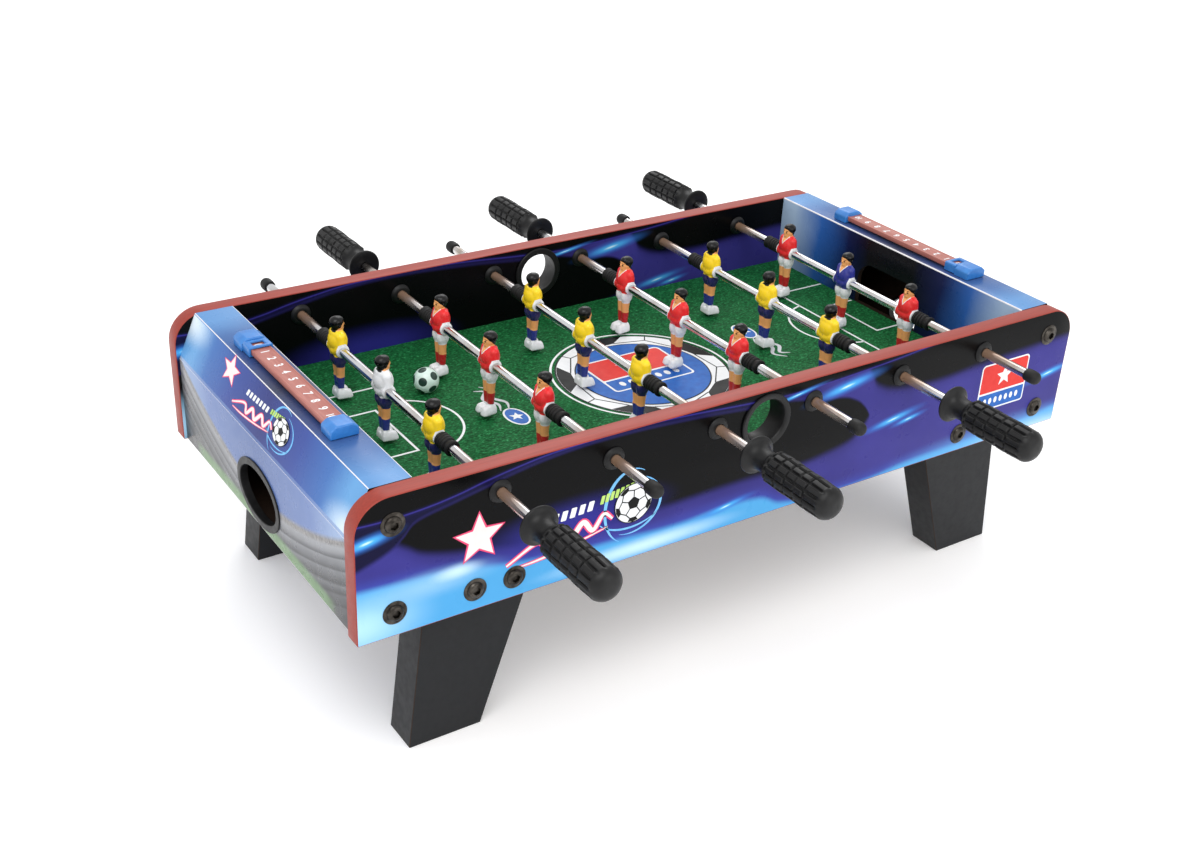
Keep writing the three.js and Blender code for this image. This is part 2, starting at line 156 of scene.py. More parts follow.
class MenSettings(bpy.types.PropertyGroup):
    """Colours of the men."""

    front_shirt: tint("Front shirt", "Shirts of the team with its handles at the front", "#ffd91f")
    rear_shirt: tint("Rear shirt", "Shirts of the team with its handles at the rear", "#e2242a")
    skin: tint("Skin", "Painted skin", "#f0a866")
    navy: tint("Navy", "Front team's shorts and socks", "#141d5a")
    white: tint("White", "Boots, hubs and the rear team's shorts", "#e9ebee")


class StageSettings(bpy.types.PropertyGroup):
    """Floor and light of the stage."""

    floor: tint("Floor", "Colour of the floor", "#f4f4f4")
    key: bpy.props.FloatProperty(name="Key light", description="Power of the key light", default=20, min=0)


# ---- Materials -----------------------------------------------------------------------------------------------


def add(tree, kind, inputs=None, **settings):
    """Adds a node with its settings, and sets or links its inputs by identifier, name or number."""
    made = tree.nodes.new(kind)
    for key, value in settings.items():
        if key == "knots":
            curve = made.mapping.curves[0]
            for knot in value[2:]:
                curve.points.new(*knot)
            for point, knot in zip(curve.points, value):
                point.location = knot
            made.mapping.use_clip = False
            made.mapping.update()
        elif key == "stops":
            for _ in value[2:]:
                made.color_ramp.elements.new(0.5)
            for element, (position, shade) in zip(made.color_ramp.elements, value):
                element.position = position
                element.color = shade
        else:
            setattr(made, key, value)
    for key, value in (inputs or {}).items():
        matches = [s for i, s in enumerate(made.inputs) if key in (i, s.identifier, s.name)]
        if isinstance(value, bpy.types.NodeSocket):
            tree.links.new(value, matches[0])
        else:
            matches[0].default_value = value
    return made


def material(name, **values):
    """A material whose Principled shader has these uniform values on its own sockets."""
    made = bpy.data.materials.new(name)
    made.use_nodes = True
    shader = made.node_tree.nodes["Principled BSDF"]
    for socket, value in values.items():
        shader.inputs[socket.replace("_", " ")].default_value = value
    return made, made.node_tree, shader


def maths(tree, operation, *values):
    """The result of a Math node."""
    return add(tree, "ShaderNodeMath", dict(enumerate(values)), operation=operation).outputs[0]


def ranged(tree, value, low, high, to_low=0.0, to_high=1.0, **settings):
    """Carries a value from low to high over to another range, and holds it at the ends."""
    inputs = {"Value": value, "From Min": low, "From Max": high, "To Min": to_low, "To Max": to_high}
    return add(tree, "ShaderNodeMapRange", inputs, **settings).outputs[0]


def object_place(tree):
    return add(tree, "ShaderNodeTexCoord").outputs["Object"]


def noise(tree, place, size, detail=3.0):
    """Noise whose blotches are about size millimetres across."""
    inputs = {"Vector": place, "Scale": 1 / (size * MM), "Detail": detail}
    return add(tree, "ShaderNodeTexNoise", inputs).outputs["Fac"]


def surface(tree, shader, place, size, depth, rough):
    """Grain of a size and depth in millimetres, with a roughness that wanders between two values."""
    grain = noise(tree, place, size)
    bump = add(tree, "ShaderNodeBump", {"Height": grain, "Distance": depth * MM, "Strength": 1.0})
    tree.links.new(bump.outputs["Normal"], shader.inputs["Normal"])
    low, high = rough
    blotches = noise(tree, place, size * 12)
    wander = ranged(tree, blotches, 0.3, 0.7, low, high)
    tree.links.new(wander, shader.inputs["Roughness"])


MIXED_COLOUR = 2  # the Mix node's colour output


def blend(tree, mask, under, over):
    """The colour under, covered by the colour over where the mask is 1."""
    inputs = {"Factor_Float": mask, "A_Color": under, "B_Color": over}
    return add(tree, "ShaderNodeMix", inputs, data_type="RGBA").outputs[MIXED_COLOUR]


def patch(tree, place, under, over, centre, radii, tilt=0.0, soft=1.0, strength=1.0):
    """Prints an ellipse of colour over another. centre and radii are (x, y, z) in millimetres, the tilt
    is in degrees about Y, and soft is the share of the radius over which the edge fades."""
    mapping = add(tree, "ShaderNodeMapping", {
        "Vector": place, "Location": Vector(centre) * MM, "Scale": Vector(radii) * MM,
        "Rotation": (0, math.radians(-tilt), 0)}, vector_type="TEXTURE")
    dome = add(tree, "ShaderNodeTexGradient", {"Vector": mapping.outputs[0]}, gradient_type="SPHERICAL")
    mask = ranged(tree, dome.outputs["Fac"], 0.0, soft, to_high=strength, interpolation_type="SMOOTHSTEP")
    return blend(tree, mask, under, over)


THROUGH = 1e5  # a radius that makes a printed patch the same right through the sheet


def drawn_height(tree, along, knots):
    """The height of a line drawn through (x, z) knots, in millimetres along a board and above its lower edge."""
    scaled = [((x + HALF_LENGTH) / (2 * HALF_LENGTH), z / BOARD_HEIGHT) for x, z in knots]
    return add(tree, "ShaderNodeFloatCurve", {"Value": along}, knots=scaled).outputs[0]


def above(tree, height, line, soft):
    """1 above a line and 0 below it, fading over soft millimetres."""
    over = maths(tree, "SUBTRACT", height, line)
    edge = soft / BOARD_HEIGHT / 2
    return ranged(tree, over, -edge, edge, interpolation_type="SMOOTHSTEP")


def both(tree, first, second):
    return maths(tree, "MULTIPLY", first, second)


def mottled(name, blotch, low, high, grain, depth, rough, **values):
    """A material whose colour wanders between two over blotches of a size in millimetres, with a fine grain."""
    made, tree, shader = material(name, **values)
    place = object_place(tree)
    shade = blend(tree, noise(tree, place, blotch), low, high)
    tree.links.new(shade, shader.inputs["Base Color"])
    surface(tree, shader, place, grain, depth, rough)
    return made


def scaled(shade, share):
    """A darker or lighter copy of a colour."""
    return tuple(c * share for c in shade[:3]) + (1,)


def brightened(shade):
    return tuple(min(1, c * 1.3) for c in shade)


@functools.cache
def board_print():
    """Satin film printed for the side boards: black clouds on violet, a blue band of light and small flares."""
    made, tree, shader = material("printed_film_on_MDF", Specular_IOR_Level=0.08, IOR=1.5)
    place = object_place(tree)
    split = add(tree, "ShaderNodeSeparateXYZ", {"Vector": place})
    along = ranged(tree, split.outputs["X"], -HALF_LENGTH * MM, HALF_LENGTH * MM)
    height = ranged(tree, split.outputs["Z"], BOARD_BOTTOM * MM, BOARD_TOP * MM)
    violet = tuple(bpy.context.scene.foosball_cabinet.print_base)
    black, night = colour("#060607"), colour("#231e58")
    mottle = noise(tree, place, 60)
    ink = blend(tree, mottle, scaled(violet, 0.72), brightened(violet))
    band = drawn_height(tree, along, [
        (-345, 44), (-300, 41), (-269, 38), (-220, 29), (-175, 23), (-130, 20), (-75, 17), (-32, 19), (0, 17),
        (25, 6), (60, 1), (120, 1), (160, 5), (230, 7), (290, 9), (345, 15)])
    glow = maths(tree, "SUBTRACT", 1.0, above(tree, height, band, 26))
    body = maths(tree, "SUBTRACT", 1.0, above(tree, height, band, 7))
    ink = blend(tree, glow, ink, colour("#3f58c0"))
    ink = blend(tree, body, ink, colour("#4e9fd6"))
    low = drawn_height(tree, along, [
        (-345, 90), (-318, 76), (-306, 68), (-291, 59), (-245, 48), (-195, 40), (-100, 37), (-13, 38), (35, 36),
        (67, 39), (92, 44), (104, 53), (112, 64), (122, 85), (345, 90)])
    high = drawn_height(tree, along, [
        (-345, 60), (-318, 70), (-308, 78), (-298, 87), (-270, 93), (-245, 98), (-220, 103), (-190, 107), (-150, 109),
        (-75, 106), (-20, 101), (18, 98), (35, 95), (60, 89), (78, 87), (92, 82), (104, 73), (112, 62), (122, 50),
        (345, 50)])
    under = maths(tree, "SUBTRACT", 1.0, above(tree, height, high, 4))
    left = ranged(tree, along, 0.6, 0.5)
    side = maths(tree, "ABSOLUTE", split.outputs["Y"])
    inner = maths(tree, "LESS_THAN", side, (INNER_Y + 0.5) * MM)
    ink = blend(tree, both(tree, above(tree, height, high, 6), left), ink, colour("#100f30"))
    ink = blend(tree, both(tree, both(tree, inner, left), under), ink, black)
    halo = both(tree, above(tree, height, low, 26), under)
    ink = blend(tree, halo, ink, night)
    ink = blend(tree, both(tree, above(tree, height, low, 9), under), ink, black)
    right = drawn_height(tree, along, [
        (-345, 150), (60, 150), (92, 134), (103, 110), (110, 98), (118, 88), (143, 80), (183, 77), (233, 80),
        (294, 83), (345, 85)])
    ink = blend(tree, above(tree, height, right, 22), ink, night)
    ink = blend(tree, above(tree, height, right, 9), ink, black)
    top = drawn_height(tree, along, [
        (-345, 95), (-320, 94), (-295, 95), (-270, 98), (-245, 103), (-220, 107), (-195, 110), (-175, 111),
        (-150, 112), (-110, 112), (-75, 110), (-20, 105.5), (20, 103), (60, 104), (100, 106), (130, 108), (171, 112),
        (220, 118), (345, 125)])
    away = maths(tree, "SUBTRACT", height, top)
    near = maths(tree, "ABSOLUTE", away)
    ink = blend(tree, above(tree, height, top, 2), ink, black)
    for width, share, shade in ((3.0, 0.3, "#241f64"), (1.1, 0.7, "#3a3490")):
        line = ranged(tree, near, width / BOARD_HEIGHT, 0.0, to_high=share, interpolation_type="SMOOTHSTEP")
        ink = blend(tree, line, ink, colour(shade))
    blue, sky, pale = colour("#3a76d0"), colour("#4cb0e6"), colour("#c4e6f6")
    flares = [(-336, 81, 34, 8), (82, 96, 52, 8), (139, 52, 44, 6), (157, 48, 26, 4), (326, 51, 44, 6),
              (-32, 19, 36, 5), (30, 101, 40, 3)]
    for x, z, wide, tall in flares:
        for shade, size, soft in ((blue, 1.0, 1.0), (sky, 0.58, 1.0), (pale, 0.2, 1.0)):
            ink = patch(tree, place, ink, shade, (x, 0, BOARD_BOTTOM + z), (wide * size, THROUGH, tall * size), 9,
                        soft)
    washes = [(-345, 14, 70, 34, "#a8d6f4"), (-290, 33, 70, 15, "#86bae0"), (-268, 37, 26, 8, "#c0def2"),
              (300, -2, 190, 26, "#6aaee6"), (320, -6, 110, 18, "#c4e2f6"), (-110, 8, 110, 10, "#bfe0f4")]
    for x, z, wide, tall, code in washes:
        ink = patch(tree, place, ink, colour(code), (x, 0, BOARD_BOTTOM + z), (wide, THROUGH, tall), 0, 1.0)
    ink = patch(tree, place, ink, colour("#343396"), (-172, 0, BOARD_BOTTOM + 46), (100, THROUGH, 27), 0, 0.9, 0.75)
    tree.links.new(ink, shader.inputs["Base Color"])
    surface(tree, shader, place, 1.2, 0.006, (0.26, 0.34))
    return made


@functools.cache
def panel_print():
    """Satin film printed for the end boxes: pale ends, blue, and a navy middle over grey stands and grass."""
    made, tree, shader = material("printed_film_on_folded_MDF", Specular_IOR_Level=0.2, IOR=1.5)
    place = object_place(tree)
    split = add(tree, "ShaderNodeSeparateXYZ", {"Vector": place})
    side = maths(tree, "ABSOLUTE", split.outputs["Y"])
    across = maths(tree, "DIVIDE", side, INNER_Y * MM)
    drift = maths(tree, "MULTIPLY_ADD", noise(tree, place, 90), 0.22, across)
    zones = [[(0.12, "#2f3775"), (0.5, "#374c94"), (0.8, "#406cae"), (1.0, "#649cd0")],
             [(0.1, "#343a50"), (0.5, "#34477a"), (0.8, "#3f659d"), (1.0, "#5a8bc0")],
             [(0.3, "#0c0c11"), (0.5, "#141c46"), (0.75, "#2c5da8"), (1.0, "#9db4cf")]]
    upper, ledge, inner = (
        add(tree, "ShaderNodeValToRGB", {"Fac": drift},
            stops=[(at, colour(code)) for at, code in zone]).outputs["Color"] for zone in zones)
    top = maths(tree, "GREATER_THAN", split.outputs["Z"], (BOARD_TOP - 1) * MM)
    for end, z in ((1, BOARD_TOP - 6), (-1, BOARD_TOP - 33)):
        upper = patch(tree, place, upper, colour("#dce9f2"), (0, end * INNER_Y, z), (THROUGH, 50, 20), 0, 1.0)
    ink = blend(tree, top, upper, ledge)
    outward = maths(tree, "ABSOLUTE", split.outputs["X"])
    wall = maths(tree, "LESS_THAN", outward, (BOX_INNER + 0.5) * MM)
    ink = blend(tree, wall, ink, inner)
    sky = add(tree, "ShaderNodeValToRGB", {"Fac": across}, stops=[
        (0.0, colour("#53699c")), (0.6, colour("#657cb0")), (1.0, colour("#9bb2d2"))]).outputs["Color"]
    bend = maths(tree, "POWER", across, 1.8)
    rise = maths(tree, "MULTIPLY_ADD", bend, -0.046, split.outputs["Z"])
    tier = add(tree, "ShaderNodeCombineXYZ", {"X": across, "Z": rise})
    drawn_out = add(tree, "ShaderNodeMapping", {"Vector": tier.outputs[0], "Scale": (0.01, 1, 1)}).outputs[0]
    share = ranged(tree, rise, (BOARD_BOTTOM - 34) * MM, (BOARD_BOTTOM + 27) * MM)
    wavy = maths(tree, "MULTIPLY_ADD", noise(tree, drawn_out, 9, 1.0), 0.12, share)
    rows = [(0.06, "#28292b"), (0.2, "#434447"), (0.23, "#1c1d1f"), (0.36, "#505155"), (0.39, "#2c2d30"),
            (0.52, "#636569"), (0.55, "#333437"), (0.68, "#717378"), (0.71, "#3f4044"), (0.84, "#808287"),
            (0.87, "#4b4c51"), (1.0, "#96989d")]
    stands = add(tree, "ShaderNodeValToRGB", {"Fac": wavy}, stops=[
        (at, colour(code)) for at, code in rows]).outputs["Color"]
    low = ranged(tree, rise, (BOARD_BOTTOM + 33) * MM, (BOARD_BOTTOM + 29) * MM)
    crowd = blend(tree, noise(tree, place, 2.2, 1.0), colour("#4b4a4e"), colour("#a7a5a4"))
    seats = ranged(tree, rise, (BOARD_BOTTOM + 27) * MM, (BOARD_BOTTOM + 24) * MM)
    lower = blend(tree, low, sky, blend(tree, seats, crowd, stands))
    edge = ranged(tree, split.outputs["Z"], (BOARD_BOTTOM + 13) * MM, (BOARD_BOTTOM + 8) * MM, to_high=0.85)
    inside = ranged(tree, across, 0.85, 0.75)
    grass = blend(tree, noise(tree, place, 9), colour("#557a4a"), colour("#86a87a"))
    lower = blend(tree, both(tree, edge, inside), lower, grass)
    outer = maths(tree, "GREATER_THAN", outward, (BOX_OUTER - 1) * MM)
    ink = blend(tree, outer, ink, lower)
    tree.links.new(ink, shader.inputs["Base Color"])
    surface(tree, shader, place, 1.2, 0.012, (0.24, 0.34))
    return made


@functools.cache
def edge_band():
    """Thin PVC edge banding: brick red, softly shiny, with faint streaks along its length."""
    made, tree, shader = material("PVC_edge_band", Specular_IOR_Level=0.3, IOR=1.53)
    place = object_place(tree)
    band = tuple(bpy.context.scene.foosball_cabinet.band)
    stretched = add(tree, "ShaderNodeMapping", {"Vector": place, "Scale": (0.08, 1, 1)}).outputs[0]
    streaks = noise(tree, stretched, 1.5)
    shade = blend(tree, streaks, scaled(band, 0.68), brightened(band))
    tree.links.new(shade, shader.inputs["Base Color"])
    surface(tree, shader, stretched, 1.0, 0.02, (0.38, 0.5))
    return made


@functools.cache
def raw_fibreboard(name="raw_MDF", low="#4a3020", high="#7a5638"):
    """Cut MDF: brown pressed fibres, quite matt."""
    return mottled(name, 1.0, colour(low), colour(high), 0.6, 0.06, (0.75, 0.9), Specular_IOR_Level=0.2, IOR=1.45)


@functools.cache
def worn_fold():
    """The film's white core, which shows along a fold."""
    return mottled("folded_film_edge", 4, colour("#cfcdd2"), colour("#f3eff0"), 0.8, 0.01, (0.4, 0.5), IOR=1.5)


@functools.cache
def wrapped_leg():
    """Charcoal wrapping film on MDF: fine leatherette grain and a low sheen."""
    wrap = tuple(bpy.context.scene.foosball_cabinet.leg_wrap)
    return mottled("wrapping_film_on_MDF", 5, wrap, scaled(wrap, 1.5), 0.5, 0.02, (0.4, 0.52),
                   Specular_IOR_Level=0.2, IOR=1.5)


@functools.cache
def turf_print():
    """Printed MDF playing field: green blades with a light emboss on top, bare brown board below."""
    made, tree, shader = material("printed_turf", Specular_IOR_Level=0.15, IOR=1.45)
    settings = bpy.context.scene.foosball_pitch
    place = object_place(tree)
    squeezed = add(tree, "ShaderNodeMapping", {"Vector": place, "Scale": (0.55, 1, 1)}).outputs[0]
    blades = noise(tree, squeezed, 1.3, 4.0)
    drawn = ranged(tree, blades, 0.36, 0.66)
    shade = blend(tree, drawn, tuple(settings.turf_dark), tuple(settings.turf))
    tips = ranged(tree, blades, 0.6, 0.78, to_high=0.6)
    shade = blend(tree, tips, shade, colour("#5cb67c"))
    height = add(tree, "ShaderNodeSeparateXYZ", {"Vector": place}).outputs["Z"]
    metal_share = maths(tree, "LESS_THAN", height, (PITCH_TOP - 1) * MM)
    shade = blend(tree, metal_share, shade, colour("#57483b"))
    tree.links.new(shade, shader.inputs["Base Color"])
    surface(tree, shader, squeezed, 1.7, 0.25, (0.62, 0.78))
    return made


def ink(name, code, other):
    """Screen-printed ink: flat colour with slight mottling and a satin face."""
    base = colour(code)
    second = colour(other) if other else scaled(base, 0.88)
    return mottled(name, 6.0, second, base, 0.9, 0.008, (0.35, 0.45), Specular_IOR_Level=0.15, IOR=1.5)


INKS = {"white": ("#eceef0", None), "black": ("#0a0a0b", None), "blue": ("#1f4a9c", "#2a72c4"),
        "red": ("#cc2a28", "#dc3f36"), "green": ("#9ecb54", "#c6df86"), "pink": ("#d8386a", "#f0587f"),
        "cream": ("#ead9d8", "#f4e6e4"), "sky": ("#4a9be0", "#8fcdf0"), "grey": ("#c9ccd1", None)}


@functools.cache
def printed(name):
    return ink(f"printed_{name}_ink", *INKS[name])


@functools.cache
def chromed_tube():
    """Chromed steel tube: mirror bright and finely drawn, with painted brown reflection of the boards near them."""
    made, tree, shader = material("chromed_steel", Metallic=1.0)
    place = object_place(tree)
    stains = ranged(tree, noise(tree, place, 22), 0.45, 0.75)
    shade = blend(tree, stains, colour("#d6d7da"), colour("#b3a79b"))
    side = add(tree, "ShaderNodeSeparateXYZ", {"Vector": place}).outputs["Y"]
    beside = maths(tree, "ABSOLUTE", side)
    from_board = maths(tree, "SUBTRACT", beside, (INNER_Y + THICKNESS / 2) * MM)
    reach = maths(tree, "ABSOLUTE", from_board)
    # Brown, less metallic chrome near the boards is a painted reflection of the boards.
    painted_board_reflection = ranged(tree, reach, 0.060, 0.014, to_high=0.9, interpolation_type="SMOOTHSTEP")
    shade = blend(tree, painted_board_reflection, shade, colour("#8a6648"))
    metal_share = ranged(tree, reach, 0.008, 0.056, 0.3, interpolation_type="SMOOTHSTEP")
    tree.links.new(metal_share, shader.inputs["Metallic"])
    tree.links.new(shade, shader.inputs["Base Color"])
    drawn = add(tree, "ShaderNodeMapping", {"Vector": place, "Scale": (1, 0.05, 1)}).outputs[0]
    surface(tree, shader, drawn, 0.5, 0.004, (0.1, 0.22))
    return made


@functools.cache
def black_abs():
    """Moulded black ABS: fine spark texture and a soft shine."""
    return mottled("moulded_black_ABS", 4, colour("#0b0b0c"), colour("#151516"), 0.4, 0.02, (0.36, 0.5),
                   Specular_IOR_Level=0.26, IOR=1.53)


@functools.cache
def black_rubber():
    """Moulded rubber: near black and matt, with a dusty bloom."""
    return mottled("moulded_rubber", 3, colour("#0c0c0c"), colour("#1b1a1a"), 0.5, 0.03, (0.5, 0.68),
                   Specular_IOR_Level=0.3, IOR=1.5)


@functools.cache
def bronzed_steel():
    """Chemically browned steel: dark, with worn lighter blotches."""
    made, tree, shader = material("browned_steel", Metallic=1.0)
    place = object_place(tree)
    worn = ranged(tree, noise(tree, place, 7), 0.35, 0.75)
    shade = blend(tree, worn, colour("#2b2825"), colour("#5f5a54"))
    tree.links.new(shade, shader.inputs["Base Color"])
    surface(tree, shader, place, 0.8, 0.01, (0.28, 0.42))
    return made


@functools.cache
def blue_abs():
    """Moulded blue ABS: saturated, glossy, faintly uneven."""
    return mottled("moulded_blue_ABS", 6, colour("#1f62ae"), colour("#3a86cf"), 0.6, 0.012, (0.28, 0.4), IOR=1.53)


@functools.cache
def rail_plastic():
    """Moulded terracotta plastic with streaks along the rail."""
    made, tree, shader = material("moulded_terracotta_plastic", IOR=1.5)
    place = object_place(tree)
    along = add(tree, "ShaderNodeMapping", {"Vector": place, "Scale": (1, 0.1, 1)}).outputs[0]
    shade = blend(tree, noise(tree, along, 2), colour("#8f4a42"), colour("#b8766a"))
    tree.links.new(shade, shader.inputs["Base Color"])
    surface(tree, shader, along, 0.7, 0.02, (0.4, 0.55))
    return made


@functools.cache
def ball_plastic():
    """Hollow moulded ball: mint white with round black pads, where the mesh's pad value is high."""
    made, tree, shader = material("moulded_ball_plastic", IOR=1.5, Coat_Weight=0.3, Coat_Roughness=0.15)
    place = object_place(tree)
    pad = add(tree, "ShaderNodeAttribute", attribute_name="pad")
    mask = ranged(tree, pad.outputs["Fac"], 0.938, 0.944)
    mint = blend(tree, noise(tree, place, 5), colour("#c4e2d6"), colour("#e6f4ee"))
    shade = blend(tree, mask, mint, colour("#1d3830"))
    tree.links.new(shade, shader.inputs["Base Color"])
    surface(tree, shader, place, 0.6, 0.015, (0.25, 0.38))
    return made


PAINT_EDGE = 0.35  # over how many millimetres one paint fades into the next


@functools.cache
def painted_man(name, shirt, shorts, socks, collar):
    """Moulded plastic man painted by hand: glossy coats whose edges wobble a little. The mesh's place value
    is the point on the man in millimetres from his rod's axis: x forward, y sideways, z up."""
    made, tree, shader = material(f"painted_plastic_man_{name}", Specular_IOR_Level=0.28, IOR=1.5, Coat_Weight=0.06,
                                  Coat_Roughness=0.15)
    men = bpy.context.scene.foosball_men
    skin, white, hair = tuple(men.skin), tuple(men.white), colour("#050506")
    place = add(tree, "ShaderNodeAttribute", attribute_name="place").outputs["Vector"]
    grain = add(tree, "ShaderNodeTexNoise", {"Vector": place, "Scale": 0.35, "Detail": 2.0}).outputs["Fac"]
    split = add(tree, "ShaderNodeSeparateXYZ", {"Vector": place})
    forward, sideways, up = split.outputs
    height = maths(tree, "MULTIPLY_ADD", grain, 1.2, up)
    spread = maths(tree, "ABSOLUTE", sideways)

    def coat(under, over, value, start):
        """Paints over where the value passes start, with a slightly soft edge."""
        mask = ranged(tree, value, start, start + PAINT_EDGE)
        return blend(tree, mask, under, over)

    paint = coat(white, socks, height, -34.8)
    paint = coat(paint, skin, height, -24.6)
    paint = coat(paint, shorts, height, -15.2)
    paint = coat(paint, shirt, height, -5.2)
    paint = coat(paint, skin, height, 16.9)
    opening = maths(tree, "MULTIPLY_ADD", spread, -1.7, height)
    front = maths(tree, "GREATER_THAN", forward, 2.0)
    gate = both(tree, front, opening)
    if collar:
        paint = coat(paint, white, gate, 9.2)
        paint = coat(paint, skin, gate, 10.4)
    lean = maths(tree, "MULTIPLY_ADD", forward, -0.95, height)
    crown = maths(tree, "GREATER_THAN", height, 16.0)
    hairline = both(tree, lean, crown)
    eye = add(tree, "ShaderNodeCombineXYZ", {
        "X": maths(tree, "SUBTRACT", spread, 1.9),
        "Y": maths(tree, "SUBTRACT", up, 20.4)}).outputs[0]
    brow = add(tree, "ShaderNodeMapping", {
        "Vector": eye, "Location": (0.2, 1.5, 0), "Scale": (2.3, 0.55, 1)}, vector_type="TEXTURE").outputs[0]
    for spot, size in ((eye, 0.75), (brow, 0.6)):
        near = add(tree, "ShaderNodeVectorMath", {0: spot}, operation="LENGTH").outputs["Value"]
        inside = maths(tree, "LESS_THAN", near, size)
        facing = both(tree, inside, front)
        paint = blend(tree, facing, paint, colour("#4a2c1a"))
    worn = ranged(tree, grain, 0.3, 0.75, to_high=0.12)
    paint = coat(blend(tree, worn, paint, colour("#a08c78")), hair, hairline, 19.3)
    round_axis = add(tree, "ShaderNodeCombineXYZ", {"X": forward, "Y": up}).outputs[0]
    out = add(tree, "ShaderNodeVectorMath", {0: round_axis}, operation="LENGTH").outputs["Value"]
    hub = maths(tree, "LESS_THAN", out, 6.6)
    ends = both(tree, hub, spread)
    paint = coat(paint, white, ends, 8.8)
    tree.links.new(paint, shader.inputs["Base Color"])
    surface(tree, shader, object_place(tree), 0.7, 0.03, (0.24, 0.4))
    return made


@functools.cache
def seamless_floor():
    """Matt white studio floor."""
    made, tree, shader = material("painted_studio_floor", Roughness=0.9, Emission_Color=colour("#ffffff"),
                                  Emission_Strength=0.18)
    place = object_place(tree)
    base = tuple(bpy.context.scene.foosball_stage.floor)
    shade = blend(tree, noise(tree, place, 400), base, scaled(base, 0.985))
    tree.links.new(shade, shader.inputs["Base Color"])
    return made


# ---- Mesh making, in millimetres -----------------------------------------------------------------------------


def rounded(corners, inset=0.0, steps=6):
    """An outline through (a, b, radius) corners, run counter-clockwise and drawn in by inset."""
    outline = []
    for i, (a, b, radius) in enumerate(corners):
        here, last, following = (Vector(c[:2]) for c in ((a, b), corners[i - 1], corners[(i + 1) % len(corners)]))
        before, after = (here - last).normalized(), (following - here).normalized()
        left, next_left = Vector((-before.y, before.x)), Vector((-after.y, after.x))
        here = here + (left + next_left) * inset / (1 + left.dot(next_left))
        if not radius:
            outline.append(here)
            continue
        bend = math.atan2(before.x * after.y - before.y * after.x, before.dot(after))
        side = math.copysign(1, bend)
        size = max(radius - inset * side, 0.05)
        centre = here - before * size * math.tan(abs(bend) / 2) + left * size * side
        for k in range(steps + 1):
            spoke = left * -size * side
            spoke.rotate(Matrix.Rotation(bend * k / steps, 2))
            outline.append(centre + spoke)
    return outline


def half_turn(wanted):
    """Half a turn about Z where it is wanted, and none elsewhere."""
    return Matrix.Rotation(math.pi if wanted else 0, 4, "Z")


def ellipse(a, b, half_a, half_b, inset=0.0, steps=64):
    """An elliptical outline, run counter-clockwise and drawn in by inset."""
    angles = [math.tau * i / steps for i in range(steps)]
    return [Vector((a + (half_a - inset) * math.cos(t), b + (half_b - inset) * math.sin(t))) for t in angles]


STAR_POINTS = 5


def star(a, b, reach, waist):
    """A pointed star's outline."""
    spokes = [reach if i % 2 == 0 else waist for i in range(2 * STAR_POINTS)]
    turns = [math.pi / 2 + math.pi * i / STAR_POINTS for i in range(2 * STAR_POINTS)]
    return [Vector((a + r * math.cos(t), b + r * math.sin(t))) for r, t in zip(spokes, turns)]


AXES = {"x": lambda a, b, d: (d, a, b), "y": lambda a, b, d: (a, d, b), "z": lambda a, b, d: (a, b, d)}


def skin(bm, first, second, slot=0):
    """Joins two rings of corners, or a ring and a single corner, with faces."""
    sides = max(len(first), len(second))
    for i in range(sides):
        j = (i + 1) % sides
        corners = [first[i % len(first)], first[j % len(first)], second[j % len(second)], second[i % len(second)]]
        bm.faces.new(list(dict.fromkeys(corners))).material_index = slot


def prism(bm, outline, levels, axis, face=0, rim=0):
    """A closed slab. outline(inset) gives its outline and levels its (distance along the axis, inset) pairs."""
    put = AXES[axis]
    rings = [[bm.verts.new(put(p.x, p.y, d)) for p in outline(inset)] for d, inset in levels]
    for first, second in zip(rings, rings[1:]):
        skin(bm, first, second, rim)
    for ring in (rings[0], rings[-1]):
        bm.faces.new(ring).material_index = face
    return rings


def soft_levels(low, high, round_edge, steps=3):
    """Levels for a prism from low to high with rounded edges."""
    turns = [math.pi / 2 * k / steps for k in range(steps + 1)]
    foot = [(low + round_edge * (1 - math.sin(t)), round_edge * (1 - math.cos(t))) for t in reversed(turns)]
    head = [(high - round_edge * (1 - math.sin(t)), round_edge * (1 - math.cos(t))) for t in turns]
    return foot + head


def turned(bm, profile, sides=48, closed=False, reshape=None):
    """Turns (radius, y) pairs round the Y axis. reshape(angle, y, radius) may change a corner's radius."""
    rings = []
    for r, y in profile:
        if r == 0:
            rings.append([bm.verts.new((0, y, 0))])
            continue
        angles = [math.tau * i / sides for i in range(sides)]
        radii = [reshape(t, y, r) if reshape else r for t in angles]
        rings.append([bm.verts.new((q * math.cos(t), y, q * math.sin(t))) for q, t in zip(radii, angles)])
    pairs = list(zip(rings, rings[1:])) + ([(rings[-1], rings[0])] if closed else [])
    for first, second in pairs:
        skin(bm, first, second)
    if not closed:
        for ring in (rings[0], rings[-1]):
            if len(ring) > 1:
                bm.faces.new(ring)


INK_THICKNESS = 0.08


